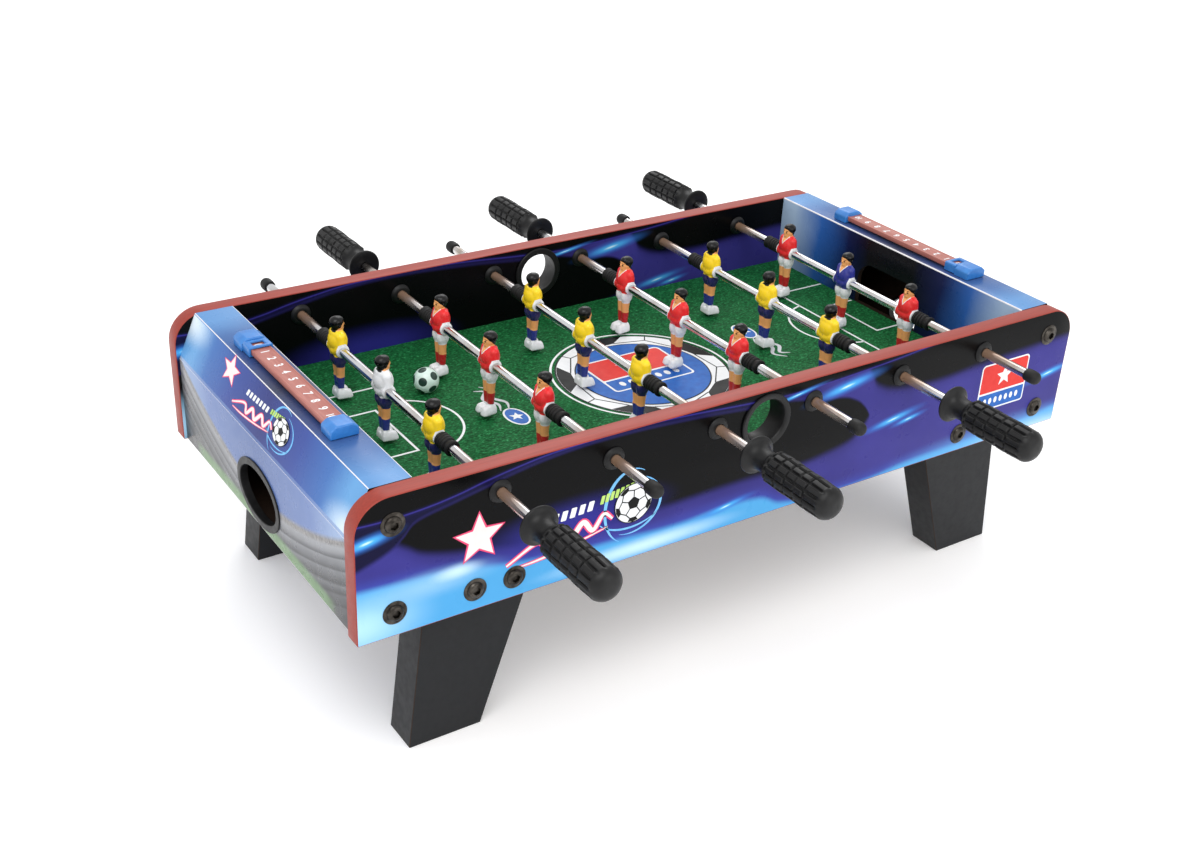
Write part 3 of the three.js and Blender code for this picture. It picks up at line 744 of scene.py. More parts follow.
def ribbon(bm, path, width, depth, closed=False, slot=0):
    """A flat printed line along (a, b) points on the XY plane. width is a number or a function of 0 to 1."""
    rings, last = [], len(path) - 1
    for i, here in enumerate(path):
        before = here - path[i - 1] if closed or i else path[1] - here
        after = path[(i + 1) % len(path)] - here if closed or i < last else here - path[i - 1]
        first = Vector((-before.y, before.x)).normalized()
        second = Vector((-after.y, after.x)).normalized()
        mitre = (first + second).normalized()
        half = (width(i / last) if callable(width) else width) / 2 / max(mitre.dot(first), 0.4)
        edges = [here - mitre * half, here + mitre * half]
        section = [(edges[0], 0), (edges[1], 0), (edges[1], INK_THICKNESS), (edges[0], INK_THICKNESS)]
        rings.append([bm.verts.new((p.x, p.y, depth + up)) for p, up in section])
    for one, two in list(zip(rings, rings[1:])) + ([(rings[-1], rings[0])] if closed else []):
        skin(bm, one, two, slot)
    if not closed:
        for ring in (rings[0], rings[-1]):
            bm.faces.new(ring).material_index = slot


def inlay(bm, outline, depth, slot):
    """A flat printed patch on the XY plane."""
    prism(bm, outline, [(depth, 0), (depth + INK_THICKNESS, 0)], "z", slot, slot)


def flowing(points):
    """A smooth path through (a, b) points."""
    steps = 8
    knots = [Vector(p) for p in points]
    knots = [2 * knots[0] - knots[1]] + knots + [2 * knots[-1] - knots[-2]]
    path = []
    for p0, p1, p2, p3 in zip(knots, knots[1:], knots[2:], knots[3:]):
        for k in range(steps):
            t = k / steps
            path.append(0.5 * (2 * p1 + (p2 - p0) * t + (2 * p0 - 5 * p1 + 4 * p2 - p3) * t * t
                               + (3 * p1 - p0 - 3 * p2 + p3) * t ** 3))
    return path + [knots[-2]]


def arc(a, b, radius, start, end, steps=48):
    """Points of an arc between two angles in degrees."""
    angles = [math.radians(start + (end - start) * i / steps) for i in range(steps + 1)]
    return [Vector((a + radius * math.cos(t), b + radius * math.sin(t))) for t in angles]


def scratch(bm, finishes=()):
    """A passing object that holds a mesh while other tools work on it."""
    bmesh.ops.recalc_face_normals(bm, faces=bm.faces)
    mesh = bpy.data.meshes.new("scratch")
    bm.to_mesh(mesh)
    bm.free()
    for finish in finishes:
        mesh.materials.append(finish)
    made = bpy.data.objects.new("scratch", mesh)
    bpy.context.scene.collection.objects.link(made)
    return made


def worked(made, *helpers):
    """The scratch object's mesh with its modifiers applied. The object and its helpers are thrown away."""
    graph = bpy.context.evaluated_depsgraph_get()
    result = bpy.data.meshes.new_from_object(made.evaluated_get(graph), depsgraph=graph)
    for old in (made, *helpers):
        bpy.data.objects.remove(old)
    return result


def modify(made, kind, **settings):
    modifier = made.modifiers.new(kind.lower(), kind)
    for key, value in settings.items():
        setattr(modifier, key, value)
    return modifier


def carved(bm, tools, finishes):
    """A mesh less every island of the tools mesh. Cut faces take the tools' material numbers."""
    body, tool = scratch(bm, finishes), scratch(tools, finishes)
    modify(body, "BOOLEAN", operation="DIFFERENCE", solver="EXACT", use_self=True, object=tool)
    return worked(body, tool)


def publish(name, shape, finishes, body, slot, *nodes, sharp=32):
    """Makes a mesh in millimetres a finished piece, which stands for the named nodes of the frame."""
    if isinstance(shape, bmesh.types.BMesh):
        bmesh.ops.recalc_face_normals(shape, faces=shape.faces)
        mesh = bpy.data.meshes.new(name)
        shape.to_mesh(mesh)
        shape.free()
    else:
        mesh = shape
        mesh.name = name
    mesh.transform(Matrix.Scale(MM, 4))
    for i, finish in enumerate(finishes):
        if i < len(mesh.materials):
            mesh.materials[i] = finish
        else:
            mesh.materials.append(finish)
    mesh.shade_smooth()
    mesh.set_sharp_from_angle(angle=math.radians(sharp))
    piece = bpy.data.objects.new(name, mesh)
    bpy.context.scene.collection.objects.link(piece)
    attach(piece, body)
    if nodes:
        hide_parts(*nodes)
    return piece


@functools.cache
def repeat_tree():
    """Puts a template of unit radius and depth on every point, sized by diameter and depth."""
    tree = bpy.data.node_groups.new("repeated_fitting", "GeometryNodeTree")
    sockets = [("Geometry", "INPUT", "Geometry"), ("Template", "INPUT", "Object"), ("Diameter", "INPUT", "Float"),
               ("Depth", "INPUT", "Float"), ("Finish", "INPUT", "Material"), ("Geometry", "OUTPUT", "Geometry")]
    for name, way, kind in sockets:
        tree.interface.new_socket(name, in_out=way, socket_type=f"NodeSocket{kind}")
    given = add(tree, "NodeGroupInput").outputs
    template = add(tree, "GeometryNodeObjectInfo", {"Object": given["Template"]})
    radius = maths(tree, "MULTIPLY", given["Diameter"], 0.5)
    scale = add(tree, "ShaderNodeCombineXYZ", {"X": radius, "Y": given["Depth"], "Z": radius}).outputs[0]
    turn = add(tree, "GeometryNodeInputNamedAttribute", {"Name": "turn"}, data_type="FLOAT_VECTOR")
    copies = add(tree, "GeometryNodeInstanceOnPoints", {
        "Points": given["Geometry"], "Instance": template.outputs["Geometry"],
        "Rotation": turn.outputs["Attribute"], "Scale": scale})
    real = add(tree, "GeometryNodeRealizeInstances", {0: copies.outputs[0]})
    done = add(tree, "GeometryNodeSetMaterial", {"Geometry": real.outputs[0], "Material": given["Finish"]})
    add(tree, "NodeGroupOutput", {0: done.outputs[0]})
    return tree


def repeated(name, template, spots, diameter, depth, finish, body, slot, *nodes):
    """A template of unit radius and unit depth along Y, on every (place, turn about X, Y, Z) spot."""
    points = bmesh.new()
    for place, _ in spots:
        points.verts.new(place)
    made, model = scratch(points), scratch(template)
    turns = made.data.attributes.new("turn", "FLOAT_VECTOR", "POINT")
    turns.data.foreach_set("vector", [angle for _, turn in spots for angle in turn])
    modifier = modify(made, "NODES", node_group=repeat_tree())
    values = {"Template": model, "Diameter": float(diameter), "Depth": float(depth), "Finish": finish}
    for item in repeat_tree().interface.items_tree:
        if item.in_out == "INPUT" and item.name in values:
            modifier[item.identifier] = values[item.name]
    made.update_tag()
    return publish(name, worked(made, model), [finish], body, slot, *nodes)


# ---- Cabinet -------------------------------------------------------------------------------------------------


class FOOSBALL_OT_side_boards(bpy.types.Operator):
    """Builds the two printed side boards with their edge banding"""

    bl_idname = "foosball.side_boards"
    bl_label = "Side boards"

    def execute(self, context):
        settings = context.scene.foosball_cabinet
        corner, edge = settings.corner_radius / MM, settings.edge_round / MM
        corners = [(-HALF_LENGTH, BOARD_BOTTOM, 1.5), (HALF_LENGTH, BOARD_BOTTOM, 1.5),
                   (HALF_LENGTH, BOARD_TOP, corner), (-HALF_LENGTH, BOARD_TOP, corner)]
        port = middle("ball_port_front").z
        finishes = [board_print(), edge_band(), raw_fibreboard()]
        for name, side in SIDES.items():
            low, high = sorted((side * INNER_Y, side * OUTER_Y))
            board = bmesh.new()
            prism(board, lambda inset: rounded(corners, inset, 12), soft_levels(low, high, edge), "y", 0, 1)
            holes = bmesh.new()
            places = [(0, port, PORT_HOLE_RADIUS)] + [(rod_x(n), ROD_Z, BUSHING_HOLE_RADIUS) for n in RODS]
            for x, z, radius in places:
                prism(holes, lambda inset: ellipse(x, z, radius, radius), [(low - 2, 0), (high + 2, 0)], "y", 2, 2)
            publish(f"printed_side_board_{name}", carved(board, holes, finishes), finishes,
                    "table", "printed_board", f"side_board_{name}")
        return {"FINISHED"}


class FOOSBALL_OT_end_boxes(bpy.types.Operator):
    """Builds the folded end boxes with their goal mouths, return holes and corner battens"""

    bl_idname = "foosball.end_boxes"
    bl_label = "End boxes"

    def execute(self, context):
        thickness, end = 5.0, INNER_Y - FIT
        outer = [(BOX_INNER, BOARD_BOTTOM, 1.0), (BOX_OUTER, BOARD_BOTTOM, 1.0), (BOX_OUTER, FOLD_Z, 0.7),
                 (LEDGE_X, BOARD_TOP, 0.7), (BOX_INNER, BOARD_TOP, 1.0)]
        rim = middle("return_rim_right").z
        # The inside of the shell, the goal mouth and return hole cuts and the corner battens take fibreboard darkened
        # as painted shade inside the box.
        finishes = [panel_print(), worn_fold(), raw_fibreboard("raw_MDF_with_painted_shade", "#150d08", "#291a10"), black_abs()]
        for name, side in ENDS.items():
            shell = bmesh.new()
            wide = [rounded(outer, 0, 2), rounded([c[:2] + (0.3,) for c in outer], thickness, 2)]
            loops = [[[shell.verts.new((p.x, y, p.y)) for p in loop] for loop in wide] for y in (-end, end)]
            skin(shell, loops[0][0], loops[1][0], 0)
            skin(shell, loops[0][1], loops[1][1], 2)
            for ring in loops:
                skin(shell, ring[0], ring[1], 2)
            for face in shell.faces:
                if face.material_index == 0 and face.calc_area() < 1000:
                    face.material_index = 1
            cutters = bmesh.new()
            goal = [(-41, PITCH_TOP, 0), (41, PITCH_TOP, 0), (41, PITCH_TOP + 42, 18), (-41, PITCH_TOP + 42, 18)]
            prism(cutters, lambda inset: rounded(goal, inset, 10),
                  [(BOX_INNER - thickness, 0), (BOX_INNER + 2 * thickness, 0)], "x", 2, 2)
            prism(cutters, lambda inset: ellipse(0, rim, RETURN_HALF_WIDTH, RETURN_HALF_HEIGHT),
                  [(BOX_OUTER - 2 * thickness, 0), (BOX_OUTER + thickness, 0)], "x", 2, 2)
            box = carved(shell, cutters, finishes)
            box.transform(half_turn(side < 0))
            publish(f"folded_end_box_{name}", box, finishes, "table", "printed_panel", f"end_panel_{name}")
            battens = bmesh.new()
            for y in (-1, 1):
                near, far = sorted((y * (end - 0.2), y * (end - 14)))
                block = [(304.7, BOARD_BOTTOM + 5.2, 0.6), (321.0, BOARD_BOTTOM + 5.2, 0.6),
                         (321.0, BOARD_TOP - 5.2, 0.6), (304.7, BOARD_TOP - 5.2, 0.6)]
                prism(battens, lambda inset: rounded(block, inset, 2), soft_levels(near, far, 0.5, 1), "y")
            battens.transform(half_turn(side < 0))
            # The battens take the same fibreboard, darkened as painted shade.
            publish(f"corner_battens_{name}", battens, [finishes[2]], "table", "printed_panel")
        return {"FINISHED"}


class FOOSBALL_OT_fittings(bpy.types.Operator):
    """Builds the bushings, bolts, ball ports and return rims"""

    bl_idname = "foosball.fittings"
    bl_label = "Fittings"

    def execute(self, context):
        half = THICKNESS / 2 + BUSHING_PROUD
        bore, depth = BORE_RADIUS / 9, 2 * half
        for name, side in SIDES.items():
            bushing = bmesh.new()
            lip = [(bore, 0.5 - 0.02), (bore + 0.04, 0.5), (0.74, 0.5), (0.82, 0.485), (0.97, 0.41), (1, 0.395),
                   (1, 0.5 - (BUSHING_PROUD - 0.02) / depth), (0.77, 0.5 - (BUSHING_PROUD - 0.02) / depth)]
            turned(bushing, lip + [(r, -y) for r, y in reversed(lip)], 40, closed=True)
            y = side * (INNER_Y + THICKNESS / 2)
            repeated(f"rod_bushings_{name}", bushing, [((rod_x(n), y, ROD_Z), (0, 0, 0)) for n in RODS],
                     18, depth, black_abs(), "table", "black_plastic")
            bolt = bmesh.new()
            dome = [(1, 0.02), (1, 0.14), (0.95, 0.24), (0.80, 0.30), (0.70, 0.26), (0.68, 0.42), (0.64, 0.66),
                    (0.56, 0.85), (0.46, 0.96), (0.36, 1.0)]
            turned(bolt, [(0, 0.02)] + dome, 36)
            crown = max(bolt.faces, key=lambda face: face.calc_center_median().y)
            bolt.faces.remove(crown)
            rim = [v for v in bolt.verts if v.co.y > 0.99]
            socket = [[bolt.verts.new((r * 0.31 * math.cos(t), y, r * 0.31 * math.sin(t)))
                       for t in (math.tau * i / 36 for i in range(36))
                       for r in [1 / max(abs(math.cos(t - k * math.pi / 3)) for k in range(3))]]
                      for y in (0.98, 0.35)]
            skin(bolt, sorted(rim, key=lambda v: math.atan2(v.co.z, v.co.x) % math.tau), socket[0])
            skin(bolt, socket[0], socket[1])
            bolt.faces.new(socket[1])
            spots = []
            for x, z in ((28.5, 90), (28.5, 19.4), (91, 17), (123, 17)):
                for end in (-1, 1):
                    place = (end * (HALF_LENGTH - x), side * OUTER_Y, BOARD_BOTTOM + z)
                    spots.append((place, (0, end * z, 0 if side > 0 else math.pi)))
            repeated(f"cabinet_bolts_{name}", bolt, spots, 18.4, BOLT_PROUD, bronzed_steel(), "table",
                     "chromed_steel")
            self.ball_port(name, side)
        hole_z = middle("return_rim_right").z
        for name, side in ENDS.items():
            rim = bmesh.new()
            section = [(-3, -5), (-0.35, -5), (-0.35, FIT), (3, FIT), (3, 0.9), (2.5, 1.25), (-2.4, 1.3), (-3, 0.8)]
            rings = [[rim.verts.new((BOX_OUTER + x, p.x, p.y))
                      for p in ellipse(0, hole_z, RETURN_HALF_WIDTH + out, RETURN_HALF_HEIGHT + out, 0, 96)]
                     for out, x in section]
            for first, second in zip(rings, rings[1:] + rings[:1]):
                skin(rim, first, second)
            rim.transform(half_turn(side < 0))
            publish(f"return_hole_rim_{name}", rim, [black_abs()], "table", "black_plastic", f"return_rim_{name}")
        return {"FINISHED"}

    def ball_port(self, name, side):
        port = bmesh.new()
        hole, sleeve, flange, face = 18.0, 20.6, 23.5, THICKNESS + FIT
        turned(port, [(hole, -1.9), (hole + 0.4, -2.3), (flange - 0.5, -2.2), (flange, -1.7), (flange, -FIT),
                      (sleeve, -FIT), (sleeve, face), (flange, face), (flange, face + 1.2),
                      (flange - 0.7, face + 1.9), (hole + 2.2, face + 2.0), (hole + 1.2, face + 1.5),
                      (hole + 0.6, face + 0.9), (hole, face - 0.2)], 72, closed=True)
        port.transform(half_turn(side < 0))
        port.transform(Matrix.Translation((0, side * INNER_Y, middle("ball_port_front").z)))
        publish(f"moulded_ball_port_{name}", port, [black_abs()], "table", "black_plastic", f"ball_port_{name}")


class FOOSBALL_OT_legs(bpy.types.Operator):
    """Builds the four tapered legs with the fibreboard showing along their front edges"""

    bl_idname = "foosball.legs"
    bl_label = "Legs"

    def execute(self, context):
        finishes = [wrapped_leg(), raw_fibreboard("worn_leg_edge", "#241c18", "#44342a")]
        for front in SIDES:
            for left, end in ENDS.items():
                node = f"leg_{front}_{left}"
                low, high = span(node)
                corners = [(240, 0, 0.8), (300, 0, 0.8), (287, BOARD_BOTTOM, 0.4), (287, high.z, 0.4),
                           (200, high.z, 0.4), (200, BOARD_BOTTOM, 0.4)]
                leg = bmesh.new()
                levels = [(low.y, 0.45), (low.y + 0.45, 0.06), (low.y + 0.8, 0), (high.y - 0.5, 0), (high.y, 0.5)]
                rings = prism(leg, lambda inset: rounded(corners, inset, 2), levels, "y")
                edge = set(rings[0] + rings[1])
                for face in leg.faces:
                    if all(v in edge for v in face.verts) and len(face.verts) == 4:
                        face.material_index = 1
                if end < 0:
                    leg.transform(Matrix.Scale(-1, 4, (1, 0, 0)))
                publish(f"tapered_{node}", leg, finishes, "table", "wrapped_board", node)
        return {"FINISHED"}


# ---- Playing field and printed marks -------------------------------------------------------------------------


class FOOSBALL_OT_pitch(bpy.types.Operator):
    """Paints the pitch board as turf and lays its printed lines and centre emblem"""

    bl_idname = "foosball.pitch"
    bl_label = "Pitch"

    def execute(self, context):
        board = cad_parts["pitch_board"]
        board.data.materials.clear()
        board.data.materials.append(turf_print())
        line = context.scene.foosball_pitch.line_width / MM
        names = ["white", "black", "blue", "red", "grey"]
        white, black, blue, red, grey = range(5)
        marks = bmesh.new()
        ribbon(marks, arc(0, 0, 81, 0, 360, 120)[:-1], line, 0.02, closed=True, slot=white)
        inlay(marks, lambda inset: ellipse(0, 0, 77.4, 77.4, 0, 120), 0.02, black)
        inlay(marks, lambda inset: ellipse(0, 0, 76, 76, 0, 120), 0.12, white)

        def spoke(turn, radius):
            return Vector((radius * math.cos(turn), radius * math.sin(turn)))

        for k in range(5):
            turn, seam = (math.radians(90 + 72 * k + more) for more in (0, 36))
            rim = [spoke(turn + 0.33 - 0.06 * i, 75.8) for i in range(12)]
            inlay(marks, lambda inset: [spoke(turn - 0.17, 63.5), spoke(turn + 0.17, 63.5)] + rim, 0.22, black)
            for path in ([spoke(turn - 0.17, 63.5), spoke(turn - math.radians(36), 68)],
                         [spoke(turn + 0.17, 63.5), spoke(seam, 68)], [spoke(seam, 68), spoke(seam, 76)]):
                ribbon(marks, path, 1.1, 0.2, slot=black)
        inlay(marks, lambda inset: ellipse(0, 0, 60, 60, 0, 96), 0.32, black)
        inlay(marks, lambda inset: ellipse(0, 0, 58.8, 58.8, 0, 96), 0.42, blue)
        shield = bmesh.new()
        draw_crest(shield, white, red, blue)
        shield.transform(Matrix.Translation((0, 9, 0.5)) @ Matrix.Diagonal((1.45, 1.33, 1, 1)))
        joined(marks, shield)
        marks.transform(Matrix.Translation((16, 7, 0)))
        wall, bow = BOX_INNER - 2, 47
        for end, centre, boxes, tip in ((-1, 17, ((38, 218), (76, 193)), 163), (1, 10, ((33, 264), (79, 236)), 198)):
            for half, front in boxes:
                box = [(wall, -half), (front, -half), (front, half), (wall, half)]
                ribbon(marks, [Vector((end * a, centre + b)) for a, b in box], line, 0.02)
            reach = 180 - math.degrees(math.acos((tip + bow - boxes[1][1]) / bow))
            curve = arc(tip + bow, centre, bow, reach, 360 - reach, 32)
            ribbon(marks, [Vector((end * p.x, p.y)) for p in curve], line, 0.02)
        for x, y, tilt in ((-122, 5, -90), (150, 20, 90)):
            badge = bmesh.new()
            inlay(badge, lambda inset: ellipse(11, 0, 12, 7.5, 0, 40), 0.02, white)
            inlay(badge, lambda inset: ellipse(11, 0, 10.6, 6.2, 0, 40), 0.12, blue)
            inlay(badge, lambda inset: star(11, 0, 5, 2.2), 0.22, white)
            for shift, drop in ((0, 1), (4, -5)):
                ribbon(badge, flowing([(-36 + shift, drop - 2), (-28, 4 + drop), (-19, -2 + drop), (-9, 3 + drop),
                                       (0, drop)]), lambda t: 0.6 + 2.2 * math.sin(math.pi * t), 0.02, slot=grey)
            badge.transform(Matrix.Translation((x, y, 0)) @ Matrix.Rotation(math.radians(tilt), 4, "Z")
                            @ Matrix.Diagonal((1.3, 1.3, 1, 1)))
            joined(marks, badge)
        marks.transform(Matrix.Translation((0, 0, PITCH_TOP)))
        publish("pitch_markings", marks, [printed(name) for name in names], "table", "printed_pitch", sharp=60)
        return {"FINISHED"}


def joined(bm, other):
    """Adds another mesh to this one and frees it."""
    mesh = bpy.data.meshes.new("joined")
    other.to_mesh(mesh)
    other.free()
    bm.from_mesh(mesh)
    bpy.data.meshes.remove(mesh)


def football(bm, a, b, radius, depth):
    """A printed football: white disc, black patches and seams. Inks 0 white and 1 black."""
    inlay(bm, lambda inset: ellipse(a, b, radius, radius, 0, 48), depth, 1)
    inlay(bm, lambda inset: ellipse(a, b, radius * 0.95, radius * 0.95, 0, 48), depth + 0.08, 0)

    def at(r, degrees):
        t = math.radians(degrees)
        return Vector((a + radius * r * math.cos(t), b + radius * r * math.sin(t)))

    inlay(bm, lambda inset: [at(0.33, 90 + 72 * k) for k in range(5)], depth + 0.16, 1)
    for k in range(5):
        turn = 90 + 72 * k
        patch_corners = [at(0.93, turn + 36 - 17), at(0.95, turn + 36), at(0.93, turn + 36 + 17),
                         at(0.74, turn + 36 + 12), at(0.74, turn + 36 - 12)]
        inlay(bm, lambda inset: patch_corners, depth + 0.16, 1)
        for start, end in ((at(0.33, turn), at(0.64, turn)), (at(0.64, turn), at(0.76, turn + 24)),
                           (at(0.64, turn), at(0.76, turn - 24))):
            ribbon(bm, [start, end], radius * 0.05, depth + 0.15, slot=1)


def emblem():
    """A printed emblem: a neon star and waves, a green bar, and a football with an orbit of light.
    Inks 0 white, 1 black, 2 pink, 3 cream, 4 green, 5 sky."""
    bm = bmesh.new()
    wave = flowing([(-76, -18), (-50, -6), (-42, -15), (-32, -4), (-23, -13), (-12, -1), (-3, -10), (6, 1), (14, -5)])
    sweep = flowing([(-72, -22), (-50, -21), (-20, -17), (10, -11)])
    for ink_number, extra, depth in ((2, 2.4, 0.02), (3, 0.0, 0.1)):
        ribbon(bm, wave, lambda t: extra + 1.6 + 3.0 * math.sin(math.pi * t), depth, slot=ink_number)
        ribbon(bm, sweep, lambda t: extra * 0.7 + 0.4 + 1.4 * math.sin(math.pi * t), depth, slot=ink_number)
        inlay(bm, lambda inset: star(-98, 13, 19.5 + extra, 8.5 + extra * 0.7), depth, ink_number)
    for k in range(7):
        x = -54 + 7.5 * k
        bar = [(x, 4 + k * 0.5, 0.6), (x + 4.6, 4 + k * 0.5, 0.6), (x + 6.6, 12 + k * 0.5, 0.6),
               (x + 2, 12 + k * 0.5, 0.6)]
        inlay(bm, lambda inset: rounded(bar, 0, 2), 0.02, 0)
    for k in range(7):
        x = 2 + 4.2 * k
        bar = [(x, 10 + k * 0.6, 0.5), (x + 3, 10 + k * 0.6, 0.5), (x + 4.6, 17 + k * 0.6, 0.5),
               (x + 1.6, 17 + k * 0.6, 0.5)]
        inlay(bm, lambda inset: rounded(bar, 0, 2), 0.3, 4)
    for half_a, half_b, start, end, width in ((23, 31, 62, 250, 2.6), (27, 24, -110, 80, 2.0),
                                              (31, 19, 200, 330, 1.4)):
        path = [Vector((30 + half_a * math.cos(math.radians(t)), 1 + half_b * math.sin(math.radians(t))))
                for t in range(start, end, 5)]
        ribbon(bm, path, lambda t: 0.3 + width * math.sin(math.pi * t), 0.02, slot=5)
    football(bm, 32, 3, 17, 0.4)
    return bm, [printed(name) for name in ("white", "black", "pink", "cream", "green", "sky")]


def draw_crest(bm, white, red, blue):
    """Draws a crest 58 mm wide: a white star on a red field over a blue bar of dots."""
    inlay(bm, lambda inset: rounded([(-29, -22.5, 3), (29, -22.5, 3), (29, 22.5, 4), (-29, 22.5, 4)]), 0.02, white)
    inlay(bm, lambda inset: rounded([(-27.6, -5.2, 1), (27.6, -5.2, 1), (27.6, 21.1, 3), (-27.6, 21.1, 3)]), 0.1, red)
    inlay(bm, lambda inset: star(0, 8, 10, 4.2), 0.2, white)
    inlay(bm, lambda inset: rounded([(-27.6, -21.1, 2), (27.6, -21.1, 2), (27.6, -7, 1), (-27.6, -7, 1)]), 0.1, blue)
    for k in range(7):
        inlay(bm, lambda inset: ellipse(-19.5 + 6.5 * k, -14, 1.9, 3.0, 0, 16), 0.2, white)


def crest():
    bm = bmesh.new()
    draw_crest(bm, 0, 1, 2)
    return bm, [printed(name) for name in ("white", "red", "blue")]


class FOOSBALL_OT_prints(bpy.types.Operator):
    """Lays the printed emblems on the side boards and on the end boxes' slopes"""

    bl_idname = "foosball.prints"
    bl_label = "Printed emblems"

    def execute(self, context):
        for name, side in SIDES.items():
            out = Matrix(((-side, 0, 0, 0), (0, 0, side, side * (OUTER_Y + 0.02)), (0, 1, 0, 0), (0, 0, 0, 1)))
            for kind, draw, x, z in (("emblem", emblem, -153, 46), ("crest", crest, 268, 54.5)):
                bm, finishes = draw()
                bm.transform(Matrix.Translation((-side * x, 0, BOARD_BOTTOM + z)) @ out)
                publish(f"printed_{kind}_{name}", bm, finishes, "table", "printed_board", sharp=60)
        foot, head = Vector((BOX_OUTER, FOLD_Z)), Vector((LEDGE_X, BOARD_TOP))
        up = (head - foot).normalized()
        for name, side in ENDS.items():
            at = foot.lerp(head, 0.5)
            bm, finishes = emblem()
            squeezed = Matrix.Diagonal((0.78, 0.6, 1, 1))
            slope = Matrix(((0, side * up.x, side * up.y, side * (at.x + 0.03 * up.y)), (side, 0, 0, 0),
                            (0, up.y, -up.x, at.y - 0.03 * up.x), (0, 0, 0, 1)))
            bm.transform(slope @ squeezed @ Matrix.Translation((8, 0, 0)))
            publish(f"printed_emblem_{name}", bm, finishes, "table", "printed_panel", sharp=60)
        return {"FINISHED"}


# ---- Rods ----------------------------------------------------------------------------------------------------


class FOOSBALL_OT_rods(bpy.types.Operator):
    """Builds the chromed tubes with their rubber caps"""

    bl_idname = "foosball.rods"
    bl_label = "Rods"

    def execute(self, context):
        for number in RODS:
            low, high = span(f"rod_{number}")
            side = handle_side(number)
            start, tip = (low.y, high.y) if side < 0 else (high.y, low.y)
            place = Matrix.Translation((rod_x(number), 0, ROD_Z))
            tube = bmesh.new()
            foot, end = start, tip + side * 12.8
            turned(tube, [(0, foot), (3.6, foot), (4, foot - side * 0.4), (4, end + side * 0.3), (3.7, end),
                          (0, end)], 48)
            tube.transform(place)
            publish(f"chromed_rod_{number}", tube, [chromed_tube()], f"rod_{number}", "chromed_steel",
                    f"rod_{number}")
            cap = bmesh.new()
            shape = [(0, 13), (4.6, 13), (5.1, 12.7), (5.35, 12), (5.6, 9.5), (5.6, 5.5), (5.45, 3.6), (5.0, 2.1),
                     (4.2, 0.9), (3.1, 0.25), (1.6, 0.02), (0, 0)]
            turned(cap, [(r, tip + side * depth) for r, depth in shape], 40)
            cap.transform(place)
            publish(f"rod_cap_{number}", cap, [black_rubber()], f"rod_{number}", "black_rubber")
        return {"FINISHED"}


class FOOSBALL_OT_handles(bpy.types.Operator):
    """Builds the fluted grips with their flanges"""

    bl_idname = "foosball.handles"
    bl_label = "Handles"

    def execute(self, context):
        settings = context.scene.foosball_rods
        flutes, rows, groove = settings.flutes, settings.grooves, settings.groove_depth / MM
        start, stop = 25.0, 76.0
        pitch = (stop - start) / rows

        def carve(angle, y, radius):
            """Sinks the flutes along the grip and the narrower grooves round it."""
            along = -y
            inside = min(1, max(0, (along - start + 3) / 3)) * min(1, max(0, (stop + 5 - along) / 4))
            swing = abs((angle * flutes / math.tau + 0.5) % 1 - 0.5) * math.tau / flutes * radius
            flute = min(1, max(0, (1.25 - swing) / 0.5))
            row = abs((along - start) / pitch - round((along - start) / pitch)) * pitch
            hoop = min(1, max(0, (1.2 - row) / 0.5)) if start - 1 < along < stop - pitch / 2 else 0
            return radius - inside * max(groove * 1.2 * flute, groove * hoop)

        bore = BORE_RADIUS
        head = [(bore, 0.3), (bore + 0.3, 0), (8.2, 0), (13.2, 0.2), (14.6, 0.7), (15, 1.5), (14.9, 2.3), (14.3, 3.0),
                (12.6, 3.7), (10.9, 4.9), (9.7, 6.8), (8.95, 9.2), (8.65, 12), (8.6, 15), (8.9, 17.5), (9.7, 19.8),
                (10.9, 21.4), (12.0, 22.3), (12.8, 23.3)]
        grip, along = [], 24.0
        while along < 79:
            grip.append((13.0 - 0.35 * math.cos((along - 24) / 55 * math.tau) ** 2, along))
            along += 0.55
        tail = [(12.75, 79.6), (12.2, 81.4), (11.2, 83.2), (9.7, 84.8), (7.6, 86.1), (5.0, 86.8), (2.5, HANDLE_END),
                (0, HANDLE_END)]
        socket = [(0, 70), (bore, 70)]
        profile = [(r, -y) for r, y in socket + head + grip + tail]
        for number in RODS:
            side = handle_side(number)
            low, high = span(f"handle_{number}")
            handle = bmesh.new()
            turned(handle, profile, 144, reshape=lambda t, y, r: carve(t, y, r) if -80 < y < -22 and r > 10 else r)
            handle.transform(half_turn(side > 0))
            face = high.y if side < 0 else low.y
            handle.transform(Matrix.Translation((rod_x(number), face, ROD_Z)))
            publish(f"fluted_handle_{number}", handle, [black_abs()], f"rod_{number}", "black_plastic",
                    f"handle_{number}", sharp=40)
        return {"FINISHED"}


class FOOSBALL_OT_bumpers(bpy.types.Operator):
    """Builds the ribbed rubber bumpers beside the outer men"""

    bl_idname = "foosball.bumpers"
    bl_label = "Bumpers"

    def execute(self, context):
        ribs = []
        for k in range(4):
            y = 0.5 + 3.1 * k
            ribs += [(5.3, y), (5.95, y + 0.2), (6.2, y + 0.7), (6.2, y + 1.5), (5.95, y + 2.1), (5.3, y + 2.35),
                     (4.95, y + 2.55), (4.95, y + 2.85)]
        flare = [(5.1, 13.2), (5.3, 14.2), (5.8, 15.4), (6.2, 16.5), (6.15, 17.4), (5.6, 18), (BORE_RADIUS, 18)]
        profile = [(BORE_RADIUS, 0), (5.1, 0)] + ribs + flare
        for number in RODS:
            for place in SIDES:
                node = f"bumper_{number}_{place}"
                low, high = span(node)
                side = SIDES[place]
                bumper = bmesh.new()
                turned(bumper, profile, 40, closed=True)
                bumper.transform(half_turn(side < 0))
                near = low.y if side > 0 else high.y
                bumper.transform(Matrix.Translation((rod_x(number), near, ROD_Z)))
                publish(f"ribbed_{node}", bumper, [black_rubber()], f"carriage_{number}", "black_rubber", node,
                        sharp=50)
        return {"FINISHED"}


# ---- Men -----------------------------------------------------------------------------------------------------


